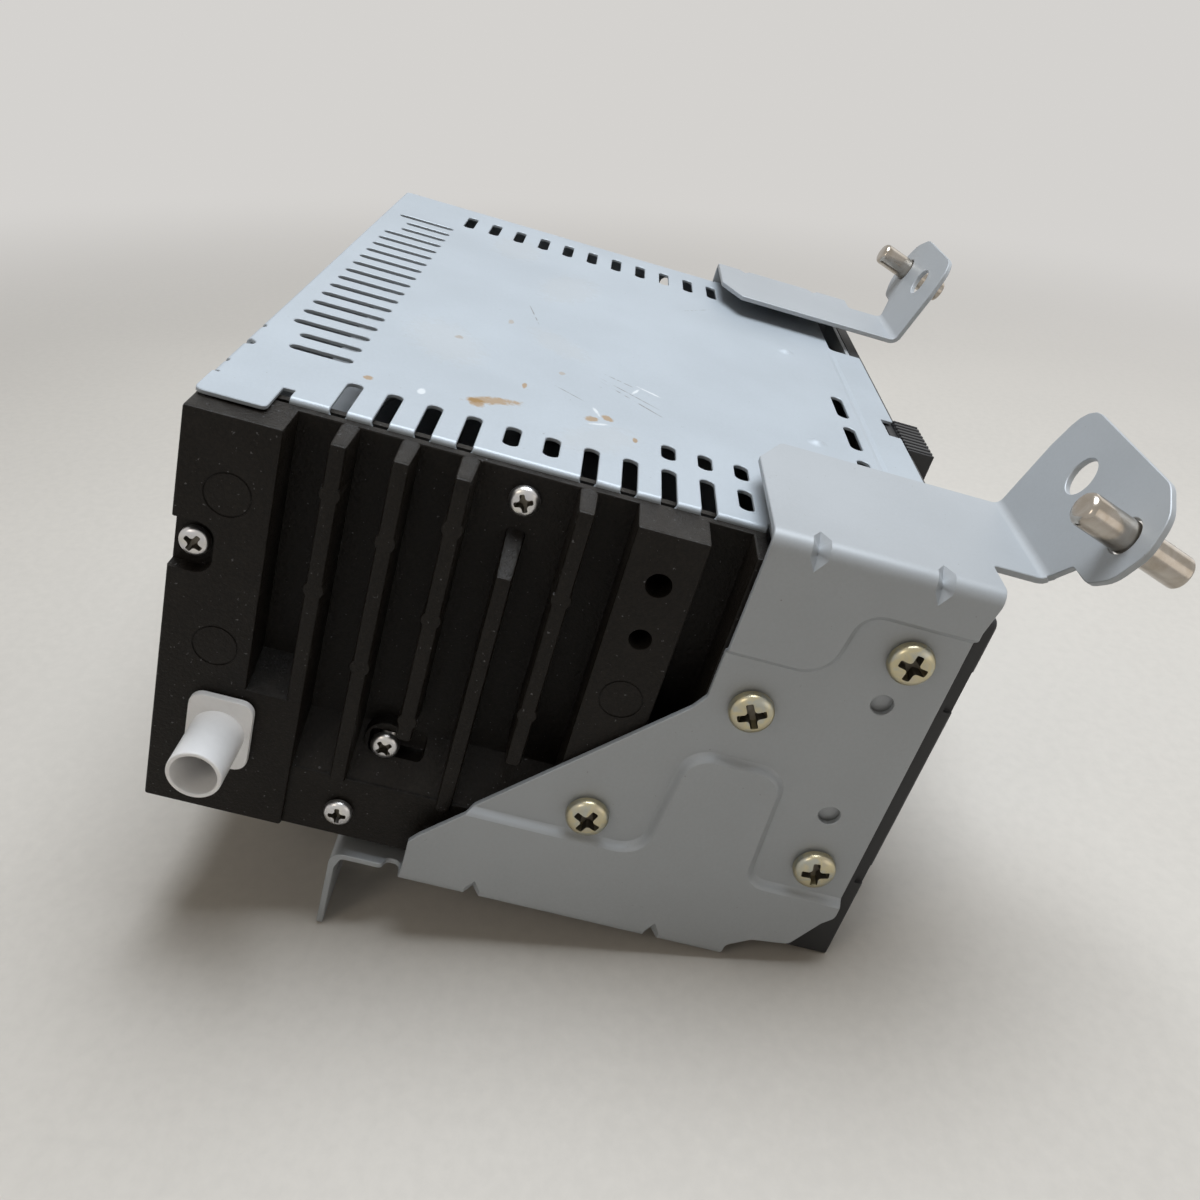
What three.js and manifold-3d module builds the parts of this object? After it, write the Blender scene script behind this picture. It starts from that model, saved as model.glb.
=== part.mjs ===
// Car CD radio, a slot loading player for the dashboard, with its two mounting brackets.
// Millimetres. X runs to the right as the driver sees it, Y to the rear, Z up.
// The origin lies in the middle of the underside of the steel case.
import * as THREE from 'three';
import { mergeVertices } from 'three/addons/utils/BufferGeometryUtils.js';
import Module from 'manifold-3d';

const wasm = await Module();
wasm.setup();

// Body, and the gaps that all pieces share
const body = { width: 178, height: 80, depth: 132.5 };
const seat = 0.3;      // gap between two pieces that rest on each other
const play = 0.3;      // gap all round a screw, shaft or button in its hole
const overrun = 1;     // how far a cut runs past what it cuts
const grid = 0.001;    // corners are set on this grid, so that faces meant to be level are level
const sheet = { cover: 0.8, case: 1, bracket: 1.2 };

// Heat sink casting along the left side
const sink = { length: 95, finDepth: 10.6, wall: 3, panelWidth: 15.7, footHeight: 28.8 };
const fin = { start: 22.8, pitch: 10, width: 2.8, bulge: 1.8 };
const finShares = [
  { top: 0.015, bottom: 0.98, bulges: [0.125, 0.35] },
  { top: 0.015, bottom: 0.838, bulges: [0.2, 0.51] },
  { top: 0.015, bottom: 0.675, bulges: [0.131, 0.35, 0.62] },
  { top: 0.131, bottom: 0.85, bulges: [] },
  { top: 0.015, bottom: 0.669, bulges: [0.225, 0.525] },
];
const bossPanel = { start: 72.6, width: 12.4, endWall: 2.5 };
const ledge = { height: 13.8, recess: 1, ramp: 11.5, shelf: 5 };
const notch = { depth: 7.3, height: 9.5, reach: 3, middleShare: 0.317 };

// Screws
const smallScrew = { headRadius: 2.7, headHeight: 1.9, shank: 1.5, length: 5 };
const largeScrew = { headRadius: 4, headHeight: 2.4, shank: 1.9, length: 5 };
const screwHeadShares = { shoulder: 0.55, crown: 0.62 };
const screwBoss = { radius: 4.4, height: 1.6 };
const lowBoss = { radius: 4.2, height: 4.6 };
const ledgeScrewShares = [0.269, 0.919];
const lowScrewShares = [0.3094, 0.745];
const topScrewDropShare = 0.0725;

// Antenna socket
const antenna = { base: 11.5, baseHeight: 15, baseThick: 1.5, corner: 2.5, outer: 4.8, inner: 4, length: 14 };
const antennaStem = { radius: 3.4, length: 17 };
const antennaPin = { radius: 0.9, tip: 9, tail: 22 };
const antennaShares = [0.093, 0.756];

// Top cover
const coverScrew = { drop: 4.2 };
const sideScrewShares = [0.12, 0.6];
const rearScrewShares = [-0.3, 0.05, 0.4];
const coverEdge = { inset: 10.6, rearReach: 4.6, rearDepth: 11.5, notchWidth: 2, notchDepth: 3.6 };
const skirt = { left: 3.2, side: 7, rear: 8 };
const rearVent = { count: 18, pitch: 6.83, first: 33.6, width: 2.2, near: 4, far: 18.5, shortNear: 7 };
const shortRearVents = [0, 1, 15, 16];
const sideVent = { count: 11, pitch: 7.02, first: 21.44, width: 2.8, reach: 24.1, bendCut: 2 };
const innerVent = { near: 28.6, far: 35.6, firstIndex: 8 };
const bridgeVents = [4, 5, 10];
const bridge = { near: 15.4 };
const farVent = { near: 8, far: 21 };
const frontVent = { fromFront: 13, width: 2.8 };
const frontVentShares = [[0.287, 0.321], [0.354, 0.43], [0.464, 0.543]];
const frontNotch = { depth: 3, start: 79.1, end: 89.6 };
const cornerCut = { depth: 8.5, width: 39.5 };

// Brackets, laid out along their side of the case
const plateShares = [
  [0.702, 0.03], [0.7, 0.35], [0.687, 0.385], [0.385, 0.9], [0.374, 0.925], [0.374, 1.012],
  [0.857, 1.012], [0.89, 0.975], [0.943, 0.962], [0.974, 0.875], [0.989, 0.85], [0.989, 0.03],
];
const upperZoneShares = [
  [0.702, 0.03], [0.702, 0.215], [0.8, 0.215], [0.83, 0.18], [0.838, 0.075], [0.86, 0.048],
  [0.989, 0.048], [0.989, 0.03],
];
const lowerZoneShares = [
  [0.374, 0.925], [0.445, 0.806], [0.664, 0.806], [0.698, 0.76], [0.708, 0.54], [0.732, 0.5], [0.815, 0.5],
  [0.835, 0.54], [0.84, 0.78], [0.862, 0.818], [0.974, 0.818], [0.943, 0.962], [0.89, 0.975],
  [0.857, 1.012], [0.374, 1.012],
];
const plateScrewShares = [[0.9245, 0.14], [0.7592, 0.35], [0.6023, 0.731], [0.9298, 0.7238]];
const plateHoleShares = [[0.9174, 0.261], [0.9185, 0.575]];
const plateHole = { radius: 2 };
const emboss = 1.5;
const bendRadius = 2.6;
const topFlange = { rise: 4.2, corner: 10, shoulder: 0.2, ahead: 10.5, inset: 7.7 };
const lowFlange = { drop: 3.3, reach: 22, legStart: 37, bendStart: 48.8, notch: 5 };
const flangeShares = { topStart: 0.7019, lowEnd: 0.8566 };
const leg = { height: 18, foot: 5, hole: 3.2 };
const ear = { tilt: 17, height: 23.9, overhang: 7.2 };
const earInnerShares = [[0.017, 0.661], [0.067, 0.791], [0.213, 0.958], [0.368, 1]];
const earOuterShares = [
  [0.418, 1], [0.268, 0.971], [0.113, 0.858], [0.008, 0.674], [0, 0.49],
  [0.117, 0.272], [0.297, 0.188], [0.473, 0.184], [0.548, 0.117],
];
const earHole = { radius: 3.6, height: 14.5 };
const locatingPin = { radius: 3, back: 10.4, ahead: 11, height: 13.8, tip: 1.2, inset: 0.2 };
const leftArm = { reach: 38.5, hole: 16 };
const rightArm = { reach: 31.3, hole: 14.2 };

// Front: fascia, slot and controls
const fascia = { proud: 1.8, thick: 3.3, lip: 0.8 };
const fasciaCorner = { width: 6, depth: 9.3, gap: 4.1 };
const sideRecessShares = [[0.14, 0.25], [0.7, 0.76]];
const slot = { width: 124, height: 5.2 };
const feltStrip = { thick: 1.2, height: 3, margin: 2, gap: 4.6 };
const window = { width: 80, height: 16, drop: 18, recess: 0.5 };
const lens = { thick: 2.2 };
const frontBoard = { thick: 1.6, gap: 5.2, inset: 11, margin: 3, drop: 8.5, boss: 2.8, bossInset: 5 };
const button = { proud: 1, flange: 1, lip: 1, sideLip: 0.4, travel: 0.6, corner: 1 };
const tactSize = 6;
const presetRow = { count: 6, width: 11, height: 8, gap: 1.2 };
const menuRow = { width: 17, height: 6.5, gap: 1.4 };
const sideButton = { width: 15, height: 8, offset: 56 };
const knob = { radius: 12, length: 8.5, ribCount: 24, rib: 0.7, offset: 52, shaft: 3 };
const rowShares = { preset: 0.3684, knob: 0.579, menu: 0.7368 };
const encoderSize = 12;
const connector = { width: 18.6, height: 10, reach: 6.5, offset: -7, ribCount: 9, groove: 0.9, depth: 0.6 };

// Disc deck, placed from the turntable's axis
const disc = { drop: 16.6, thick: 1.2 };
const deck = { depth: 13.4, rise: 10.6, clear: 9.4, margin: 9.25, sheet: 1 };
const deckPost = { radius: 3.5, inset: 5 };
const deckWindow = { left: 26, rim: 1, inset: 8 };
const damper = { radius: 3.5, x: 22, inset: 4 };
const traverse = { left: 27, ahead: 14, inset: 22, drop: 6.4, thick: 1, tab: 1, tabTop: 5.5, tabWidth: 8 };
const spindle = { can: 12, canDepth: 5, neck: 5 };
const table = { radius: 14, thick: 2.9, hub: 7.3, rise: 1.8, crown: 5.1 };
const rail = { offset: 16, radius: 1.5, rise: 2.3, start: 15.5, neck: 0.9 };
const sledMotor = { radius: 5, length: 10 };
const sled = { start: 24, back: 5, ahead: 6, half: 19.5, thick: 4, clear: 0.4 };
const pickup = { radius: 3.2, bore: 3.6, depth: 2 };
const clampArm = { rise: 6, thick: 1, tip: 17, depth: 10, inset: 15.25, clear: 1.3 };
const clampEar = { thick: 1, drop: 3.6 };
const pivotStud = { radius: 1.2 };
const clamper = { radius: 14, thick: 2, neck: 4, cap: 7, capThick: 1.2 };
const roller = { radius: 4.5, clear: 2.5, inset: 14.25, drop: 1.6, shaft: 1.5, core: 0.8 };
const gear = { roller: 5.5, idler: 7, pinion: 3, width: 3, gap: 1, tooth: 0.8 };
const toothCounts = { rollerCount: 15, idlerCount: 19, pinionCount: 8 };
const toothShares = [[0, 0], [0.3, 0], [0.45, 1], [0.85, 1]];
const gearAngle = { idler: 17.3, pinion: 70 };
const loadMotor = { radius: 5.8, length: 22, shaft: 1, tab: 17 };
const rollerArm = { thick: 1.2, width: 5, bar: 2 };
const guide = { rise: 1.6, thick: 2.2, inset: 6.25, length: 13 };

// Electronics in the bottom of the case
const mainBoard = { thick: 1.6, bottom: 8, inset: 5, stud: 3 };
const amplifier = { thick: 4.5, length: 42, height: 22, y: -12 };
const capacitorSpots = { radius: 7.5, height: 24, pitch: 19, count: 5, xShare: 0.52, yShare: -0.34 };
const tuner = { width: 34, depth: 22, height: 14, offset: 26.4, inset: 30.25 };
const harness = { width: 46, height: 20, depth: 24, offset: 59, wall: 2, cavity: 15 };
const harnessPin = { count: 8, width: 1.4, length: 9 };
const harnessRowShares = [1 / 3, 2 / 3];

// Straight pieces that stand for a round one
const curveSegments = 4;
const facetCounts = { few: 8, some: 12, many: 20 };

// Directions of extrusion
const alongX = new THREE.Matrix4().makeBasis(
  new THREE.Vector3(0, 1, 0),
  new THREE.Vector3(0, 0, 1),
  new THREE.Vector3(1, 0, 0),
);
const alongY = new THREE.Matrix4().makeBasis(
  new THREE.Vector3(1, 0, 0),
  new THREE.Vector3(0, 0, 1),
  new THREE.Vector3(0, -1, 0),
);

// Places that the pieces share
const left = -body.width / 2;
const right = body.width / 2;
const front = -body.depth / 2;
const rear = body.depth / 2;
const atRear = (distance) => rear - distance;
const atLeft = (distance) => left + distance;
const below = (distance) => body.height - distance;
const coverBottom = below(sheet.cover);
const fasciaFront = front - fascia.proud;
const fasciaBack = fasciaFront + fascia.thick;
const caseFront = fasciaBack + seat;
const caseRear = rear - sheet.cover - seat;
const sinkInner = atLeft(sink.finDepth + sink.wall);
const sinkTop = coverBottom - seat;
const sinkBottom = 0;
const discPlane = below(disc.drop);
const slotMiddle = discPlane + disc.thick / 2;
const boardFace = fasciaBack + frontBoard.gap;
const boardEdge = slotMiddle - frontBoard.drop;
const frontBoardWidth = body.width - 2 * frontBoard.inset;
const windowMiddle = slotMiddle - window.drop;
const windowBottom = windowMiddle - window.height / 2;
const rowHeights = {
  preset: rowShares.preset * windowBottom,
  knob: rowShares.knob * windowBottom,
  menu: rowShares.menu * windowBottom,
};
const boardBottom = rowHeights.preset - presetRow.height / 2 - frontBoard.margin;
const flangeStart = flangeShares.topStart * body.depth;
const flangeShoulder = body.depth - topFlange.shoulder;
const flangeEnd = body.depth + topFlange.ahead;
const lowFlangeEnd = flangeShares.lowEnd * body.depth;
const deckHalf = -sinkInner - deck.clear;
const wallInner = deckHalf - deck.sheet;
const deckLength = body.depth - 2 * deck.margin;
const deckFloor = discPlane - deck.depth;
const traverseHalf = deckLength / 2 - traverse.inset;
const railEnd = wallInner;
const traverseRight = railEnd + traverse.ahead;

// Solids
const onGrid = (geometry) => {
  const places = geometry.attributes.position.array;
  places.forEach((place, index) => {
    places[index] = Math.round(place / grid) * grid;
  });
  return geometry;
};

const solidOf = (geometry) => {
  const bare = geometry.clone();
  bare.deleteAttribute('normal');
  bare.deleteAttribute('uv');
  const welded = mergeVertices(bare);
  return new wasm.Manifold(new wasm.Mesh({
    numProp: 3,
    vertProperties: Float32Array.from(welded.attributes.position.array),
    triVerts: Uint32Array.from(welded.index.array),
  }));
};

const geometryOf = (solid) => {
  const mesh = solid.getMesh();
  const geometry = new THREE.BufferGeometry();
  geometry.setAttribute('position', new THREE.BufferAttribute(mesh.vertProperties, 3));
  geometry.setIndex(new THREE.BufferAttribute(mesh.triVerts, 1));
  const flat = geometry.toNonIndexed();
  flat.computeVertexNormals();
  return flat;
};

const join = (first, ...others) => others.reduce((whole, other) => whole.add(other), first);
const cut = (solid, ...tools) => tools.reduce((rest, tool) => rest.subtract(tool), solid);

const block = (xs, ys, zs) => {
  const geometry = new THREE.BoxGeometry(xs[1] - xs[0], ys[1] - ys[0], zs[1] - zs[0]);
  geometry.translate((xs[0] + xs[1]) / 2, (ys[0] + ys[1]) / 2, (zs[0] + zs[1]) / 2);
  return solidOf(onGrid(geometry));
};

const around = (middle, size) => [middle - size / 2, middle + size / 2];

const extrusion = (shape, length, matrix) => {
  const geometry = new THREE.ExtrudeGeometry(shape, { depth: length, bevelEnabled: false, curveSegments });
  return matrix ? geometry.applyMatrix4(matrix) : geometry;
};
const prismX = (shape, x0, x1) => {
  const geometry = extrusion(shape, Math.abs(x1 - x0), alongX);
  return solidOf(onGrid(geometry.translate(Math.min(x0, x1), 0, 0)));
};
const prismY = (shape, y0, y1) => solidOf(onGrid(extrusion(shape, y1 - y0, alongY).translate(0, y1, 0)));
const prismZ = (shape, z0, z1) => solidOf(onGrid(extrusion(shape, z1 - z0).translate(0, 0, z0)));

const outline = (points) => new THREE.Shape(points.map(([a, b]) => new THREE.Vector2(a, b)));

const rounded = (as, bs, radius) => {
  const shape = new THREE.Shape();
  shape.moveTo(as[0] + radius, bs[0]);
  shape.lineTo(as[1] - radius, bs[0]);
  shape.quadraticCurveTo(as[1], bs[0], as[1], bs[0] + radius);
  shape.lineTo(as[1], bs[1] - radius);
  shape.quadraticCurveTo(as[1], bs[1], as[1] - radius, bs[1]);
  shape.lineTo(as[0] + radius, bs[1]);
  shape.quadraticCurveTo(as[0], bs[1], as[0], bs[1] - radius);
  shape.lineTo(as[0], bs[0] + radius);
  shape.quadraticCurveTo(as[0], bs[0], as[0] + radius, bs[0]);
  return shape;
};

const rodGeometry = (radius, length, sides) => new THREE.CylinderGeometry(radius, radius, length, sides);
const rodX = (y, z, radius, x0, x1, sides = facetCounts.some) => {
  const geometry = rodGeometry(radius, Math.abs(x1 - x0), sides).rotateZ(-Math.PI / 2);
  return solidOf(onGrid(geometry.translate((x0 + x1) / 2, y, z)));
};
const rodY = (x, z, radius, y0, y1, sides = facetCounts.some) => {
  const geometry = rodGeometry(radius, y1 - y0, sides);
  return solidOf(onGrid(geometry.translate(x, (y0 + y1) / 2, z)));
};
const rodZ = (x, y, radius, z0, z1, sides = facetCounts.some) => {
  const geometry = rodGeometry(radius, z1 - z0, sides).rotateX(Math.PI / 2);
  return solidOf(onGrid(geometry.translate(x, y, (z0 + z1) / 2)));
};

// A slot with round ends, long along the first axis
const stadium = (as, bs) => {
  const shape = new THREE.Shape();
  const radius = (bs[1] - bs[0]) / 2;
  const bevel = radius / 2;
  shape.moveTo(as[0] + radius, bs[0]);
  shape.lineTo(as[1] - radius, bs[0]);
  shape.lineTo(as[1], bs[0] + bevel);
  shape.lineTo(as[1], bs[1] - bevel);
  shape.lineTo(as[1] - radius, bs[1]);
  shape.lineTo(as[0] + radius, bs[1]);
  shape.lineTo(as[0], bs[1] - bevel);
  shape.lineTo(as[0], bs[0] + bevel);
  return shape;
};
const turnedStadium = (as, bs) => {
  const lying = stadium(bs, as).getPoints();
  return outline(lying.map((point) => [point.y, point.x]));
};

// A toothed outline around a centre
const toothed = (centre, radius, count, depth) => {
  const points = [];
  for (let tooth = 0; tooth < count; tooth += 1) {
    toothShares.forEach(([turnShare, depthShare]) => {
      const angle = (2 * Math.PI * (tooth + turnShare)) / count;
      const reach = radius - depth * depthShare;
      points.push([centre[0] + reach * Math.cos(angle), centre[1] + reach * Math.sin(angle)]);
    });
  }
  return outline(points);
};

// Pieces and their finishes
const finish = (color, roughness, metalness) => ({ color, roughness, metalness });
const steel = finish(0xc4d0da, 0.42, 0.85);
const caseSteel = finish(0xb8bec4, 0.45, 0.85);
const blackCasting = finish(0x16140f, 0.62, 0.3);
const goldZinc = finish(0xcdbb84, 0.3, 0.95);
const brightZinc = finish(0xc9cbd0, 0.3, 0.95);
const nickel = finish(0xb9aa98, 0.22, 1);
const whitePlastic = finish(0xeeeef0, 0.4, 0);
const blackPlastic = finish(0x141415, 0.5, 0);
const softBlack = finish(0x1b1b1d, 0.65, 0);
const rubber = finish(0x202020, 0.85, 0);
const circuitGreen = finish(0x1f4a2c, 0.55, 0.1);
const glassBlack = finish(0x0a0c10, 0.08, 0);
const greyPlastic = finish(0x6d7073, 0.5, 0);

const radio = new THREE.Group();
radio.name = 'car_cd_radio';
const addPiece = (name, solid, material, parent = radio) => {
  const mesh = new THREE.Mesh(geometryOf(solid), new THREE.MeshStandardMaterial(material));
  mesh.name = name;
  parent.add(mesh);
  return mesh;
};

// A pan head screw whose head lies at the origin and points along +Z
const screwSolid = (screw) => {
  const shoulder = screw.headHeight * screwHeadShares.shoulder;
  const crown = screw.headRadius * screwHeadShares.crown;
  const profile = [
    [0, -screw.length], [screw.shank, -screw.length], [screw.shank, 0], [screw.headRadius, 0],
    [screw.headRadius, shoulder], [crown, screw.headHeight], [0, screw.headHeight],
  ].map(([radius, height]) => new THREE.Vector2(radius, height));
  return new THREE.LatheGeometry(profile, facetCounts.few).rotateX(Math.PI / 2);
};
const screwAt = (screw, position, turn) => {
  const geometry = screwSolid(screw).applyMatrix4(turn);
  return solidOf(geometry.translate(position[0], position[1], position[2]));
};
const headOut = {
  left: new THREE.Matrix4().makeRotationY(-Math.PI / 2),
  right: new THREE.Matrix4().makeRotationY(Math.PI / 2),
};

// Places on a side of the case, as shares of its depth and height
const sidePoint = ([depthShare, dropShare]) => [
  atRear(depthShare * body.depth),
  below(dropShare * body.height),
];
const sideOutline = (shares) => outline(shares.map(sidePoint));

// Heat sink
const finMiddle = (index) => fin.start + index * fin.pitch + fin.width / 2;
const topScrewPlace = [atRear(finMiddle(3)), below(topScrewDropShare * body.height)];
const notchMiddle = below(notch.middleShare * body.height);
const notchScrewPlace = [atRear(notch.depth / 2), notchMiddle];
const ledgeScrewPlace = sidePoint(ledgeScrewShares);
const lowScrewPlace = sidePoint(lowScrewShares);
const antennaPlace = sidePoint(antennaShares);
const floorX = atLeft(sink.finDepth);
const ledgeX = atLeft(ledge.recess);
const ledgeTop = sinkBottom + ledge.height;
const footWidth = fin.start + fin.width;
const sinkScrews = [
  { place: topScrewPlace, x: floorX - screwBoss.height },
  { place: notchScrewPlace, x: atLeft(notch.reach) },
  { place: ledgeScrewPlace, x: ledgeX },
  { place: lowScrewPlace, x: floorX - lowBoss.height },
];
const plateScrews = plateScrewShares.map(sidePoint);
const cornerTop = plateScrews[3][1] - fasciaCorner.gap;

const buildSink = () => {
  const parts = [];
  const yBand = (from, to) => [atRear(to), atRear(from)];
  parts.push(block([floorX, sinkInner], yBand(0, sink.length), [sinkBottom, sinkTop]));
  parts.push(block([left, floorX], yBand(0, sink.panelWidth), [sinkBottom, sinkTop]));
  // The floor of the grooves stands a little in front of the cover's edge
  parts.push(block([floorX - screwBoss.height, floorX], yBand(0, sink.length), [sinkBottom, sinkTop]));
  parts.push(block([left, floorX], yBand(0, footWidth), [sinkBottom, sinkBottom + sink.footHeight]));
  finShares.forEach((share, index) => {
    const from = fin.start + index * fin.pitch;
    const zs = [below(share.bottom * body.height), below(share.top * body.height)];
    parts.push(block([left, floorX], yBand(from, from + fin.width), zs));
    share.bulges.forEach((bulgeShare) => {
      const z = below(bulgeShare * body.height);
      parts.push(rodX(atRear(finMiddle(index)), z, fin.bulge, left, floorX, facetCounts.few));
    });
  });
  const panelEnd = bossPanel.start + bossPanel.width;
  parts.push(block([left, floorX], yBand(bossPanel.start, panelEnd), [sinkBottom, sinkTop]));
  const endYs = yBand(sink.length - bossPanel.endWall, sink.length);
  parts.push(block([left, floorX], endYs, [sinkBottom, sinkTop]));
  parts.push(block([ledgeX, floorX], yBand(footWidth, sink.length), [sinkBottom, ledgeTop]));
  const slope = outline([[floorX, ledgeTop + ledge.ramp], [ledgeX, ledgeTop], [floorX, ledgeTop]]);
  parts.push(prismY(slope, atRear(sink.length), atRear(footWidth)));
  const footTop = sinkBottom + sink.footHeight;
  const footSlope = outline([[floorX, footTop + ledge.shelf], [left, footTop], [floorX, footTop]]);
  parts.push(prismY(footSlope, atRear(footWidth), atRear(sink.panelWidth)));
  parts.push(rodX(...topScrewPlace, screwBoss.radius, floorX - screwBoss.height, floorX));
  parts.push(rodX(...lowScrewPlace, lowBoss.radius, floorX - lowBoss.height, floorX));
  const tools = [
    block(
      [left - overrun, atLeft(notch.reach)], [atRear(notch.depth), rear + overrun],
      around(notchMiddle, notch.height)),
    rodX(...antennaPlace, antennaStem.radius + play, left - overrun, sinkInner + overrun),
  ];
  const rim = block([left - overrun, floorX], yBand(-overrun, sink.length + overrun), [0, body.height]);
  sinkScrews.forEach(({ place, x }) => {
    tools.push(rodX(...place, smallScrew.headRadius + play, left - overrun, x));
    tools.push(rodX(...place, smallScrew.shank + play, x - overrun, sinkInner + overrun));
  });
  plateScrews.forEach((place) => {
    tools.push(rodX(...place, largeScrew.shank + play, left - overrun, atLeft(largeScrew.length)));
  });
  const skirtGroove = block(
    [floorX - overrun, floorX + sheet.cover + seat], yBand(-overrun, sink.length + overrun),
    [below(skirt.left) - seat, sinkTop + overrun]);
  const whole = cut(join(...parts), ...tools);
  return cut(whole, skirtGroove.subtract(rim));
};
addPiece('heat_sink', buildSink(), blackCasting);

sinkScrews.forEach(({ place, x }, index) => {
  const screw = screwAt(smallScrew, [x - seat, ...place], headOut.left);
  addPiece(`heat_sink_screw_${index + 1}`, screw, brightZinc);
});

// Case: floor, right wall, rear wall, short left wall and front frame in one folded sheet
const boardXs = [sinkInner + mainBoard.inset, right - sheet.case - mainBoard.inset];
const boardYs = [boardFace + frontBoard.thick + mainBoard.inset, caseRear - sheet.case - mainBoard.inset];
const boardTop = mainBoard.bottom + mainBoard.thick;
const studInset = mainBoard.stud + seat;
const boardStuds = boardXs.flatMap((x, i) => boardYs.map((y, j) => [
  x + (i ? -studInset : studInset),
  y + (j ? -studInset : studInset),
]));
const harnessZs = [boardTop + seat, boardTop + seat + harness.height];
const harnessXs = around(right - harness.offset, harness.width);
const frontWindowXs = around(0, frontBoardWidth + 2 * play);
const frontWindowZs = [boardBottom - play, boardEdge + play];
const slotXs = around(0, slot.width);
const slotZs = around(slotMiddle, slot.height);
const cornerXs = [left - overrun, atLeft(fasciaCorner.width) + seat];
const cornerYs = [caseFront - overrun, front + fasciaCorner.depth + seat];
const sideScrews = sideScrewShares.map((share) => [atRear(share * body.depth), below(coverScrew.drop)]);
const rearScrews = rearScrewShares.map((share) => [share * body.width, below(coverScrew.drop)]);

const postSpots = [-1, 1].flatMap((sideX) => (
  [-1, 1].map((sideY) => [
    sideX * (wallInner - deckPost.inset), sideY * (deckLength / 2 - deckPost.inset),
  ])));

const buildCase = () => {
  const wallTop = coverBottom - seat;
  const wallXs = [right - sheet.case - overrun, right + overrun];
  const parts = [
    block([left, right], [caseFront, atRear(sink.length) - seat], [0, sheet.case]),
    block([sinkInner + seat, right], [caseFront, caseRear], [0, sheet.case]),
    block([right - sheet.case, right], [caseFront, caseRear], [0, wallTop]),
    block([sinkInner + seat, right], [caseRear - sheet.case, caseRear], [0, wallTop]),
    block([left, atLeft(sheet.case)], [caseFront, atRear(sink.length) - seat], [0, wallTop]),
    block([left, right], [caseFront, caseFront + sheet.case], [0, wallTop]),
    ...boardStuds.map(([x, y]) => rodZ(x, y, mainBoard.stud, 0, mainBoard.bottom - seat, facetCounts.few)),
    ...postSpots.map(([x, y]) => rodZ(x, y, deckPost.radius, 0, deckFloor - seat, facetCounts.few)),
  ];
  const tools = [
    block(frontWindowXs, [caseFront - overrun, caseFront + sheet.case + overrun], frontWindowZs),
    block(
      [slotXs[0] - overrun, slotXs[1] + overrun], [caseFront - overrun, caseFront + sheet.case + overrun],
      [slotZs[0] - overrun, slotZs[1] + overrun]),
    block(cornerXs, cornerYs, [-overrun, cornerTop + seat]),
    block([harnessXs[0] - seat, harnessXs[1] + seat], [caseRear - sheet.case - overrun, rear],
      [harnessZs[0] - seat, harnessZs[1] + seat]),
    ...plateScrews.map((place) => (
      rodX(...place, largeScrew.shank + play, left - overrun, atLeft(sheet.case + overrun)))),
    ...plateScrews.map((place) => rodX(...place, largeScrew.shank + play, ...wallXs)),
    ...sideScrews.map((place) => rodX(...place, smallScrew.shank + play, ...wallXs)),
    ...rearScrews.map(([x, z]) => (
      rodY(x, z, smallScrew.shank + play, caseRear - sheet.case - overrun, rear + overrun))),
  ];
  return cut(join(...parts), ...tools);
};
addPiece('case', buildCase(), caseSteel);

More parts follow.
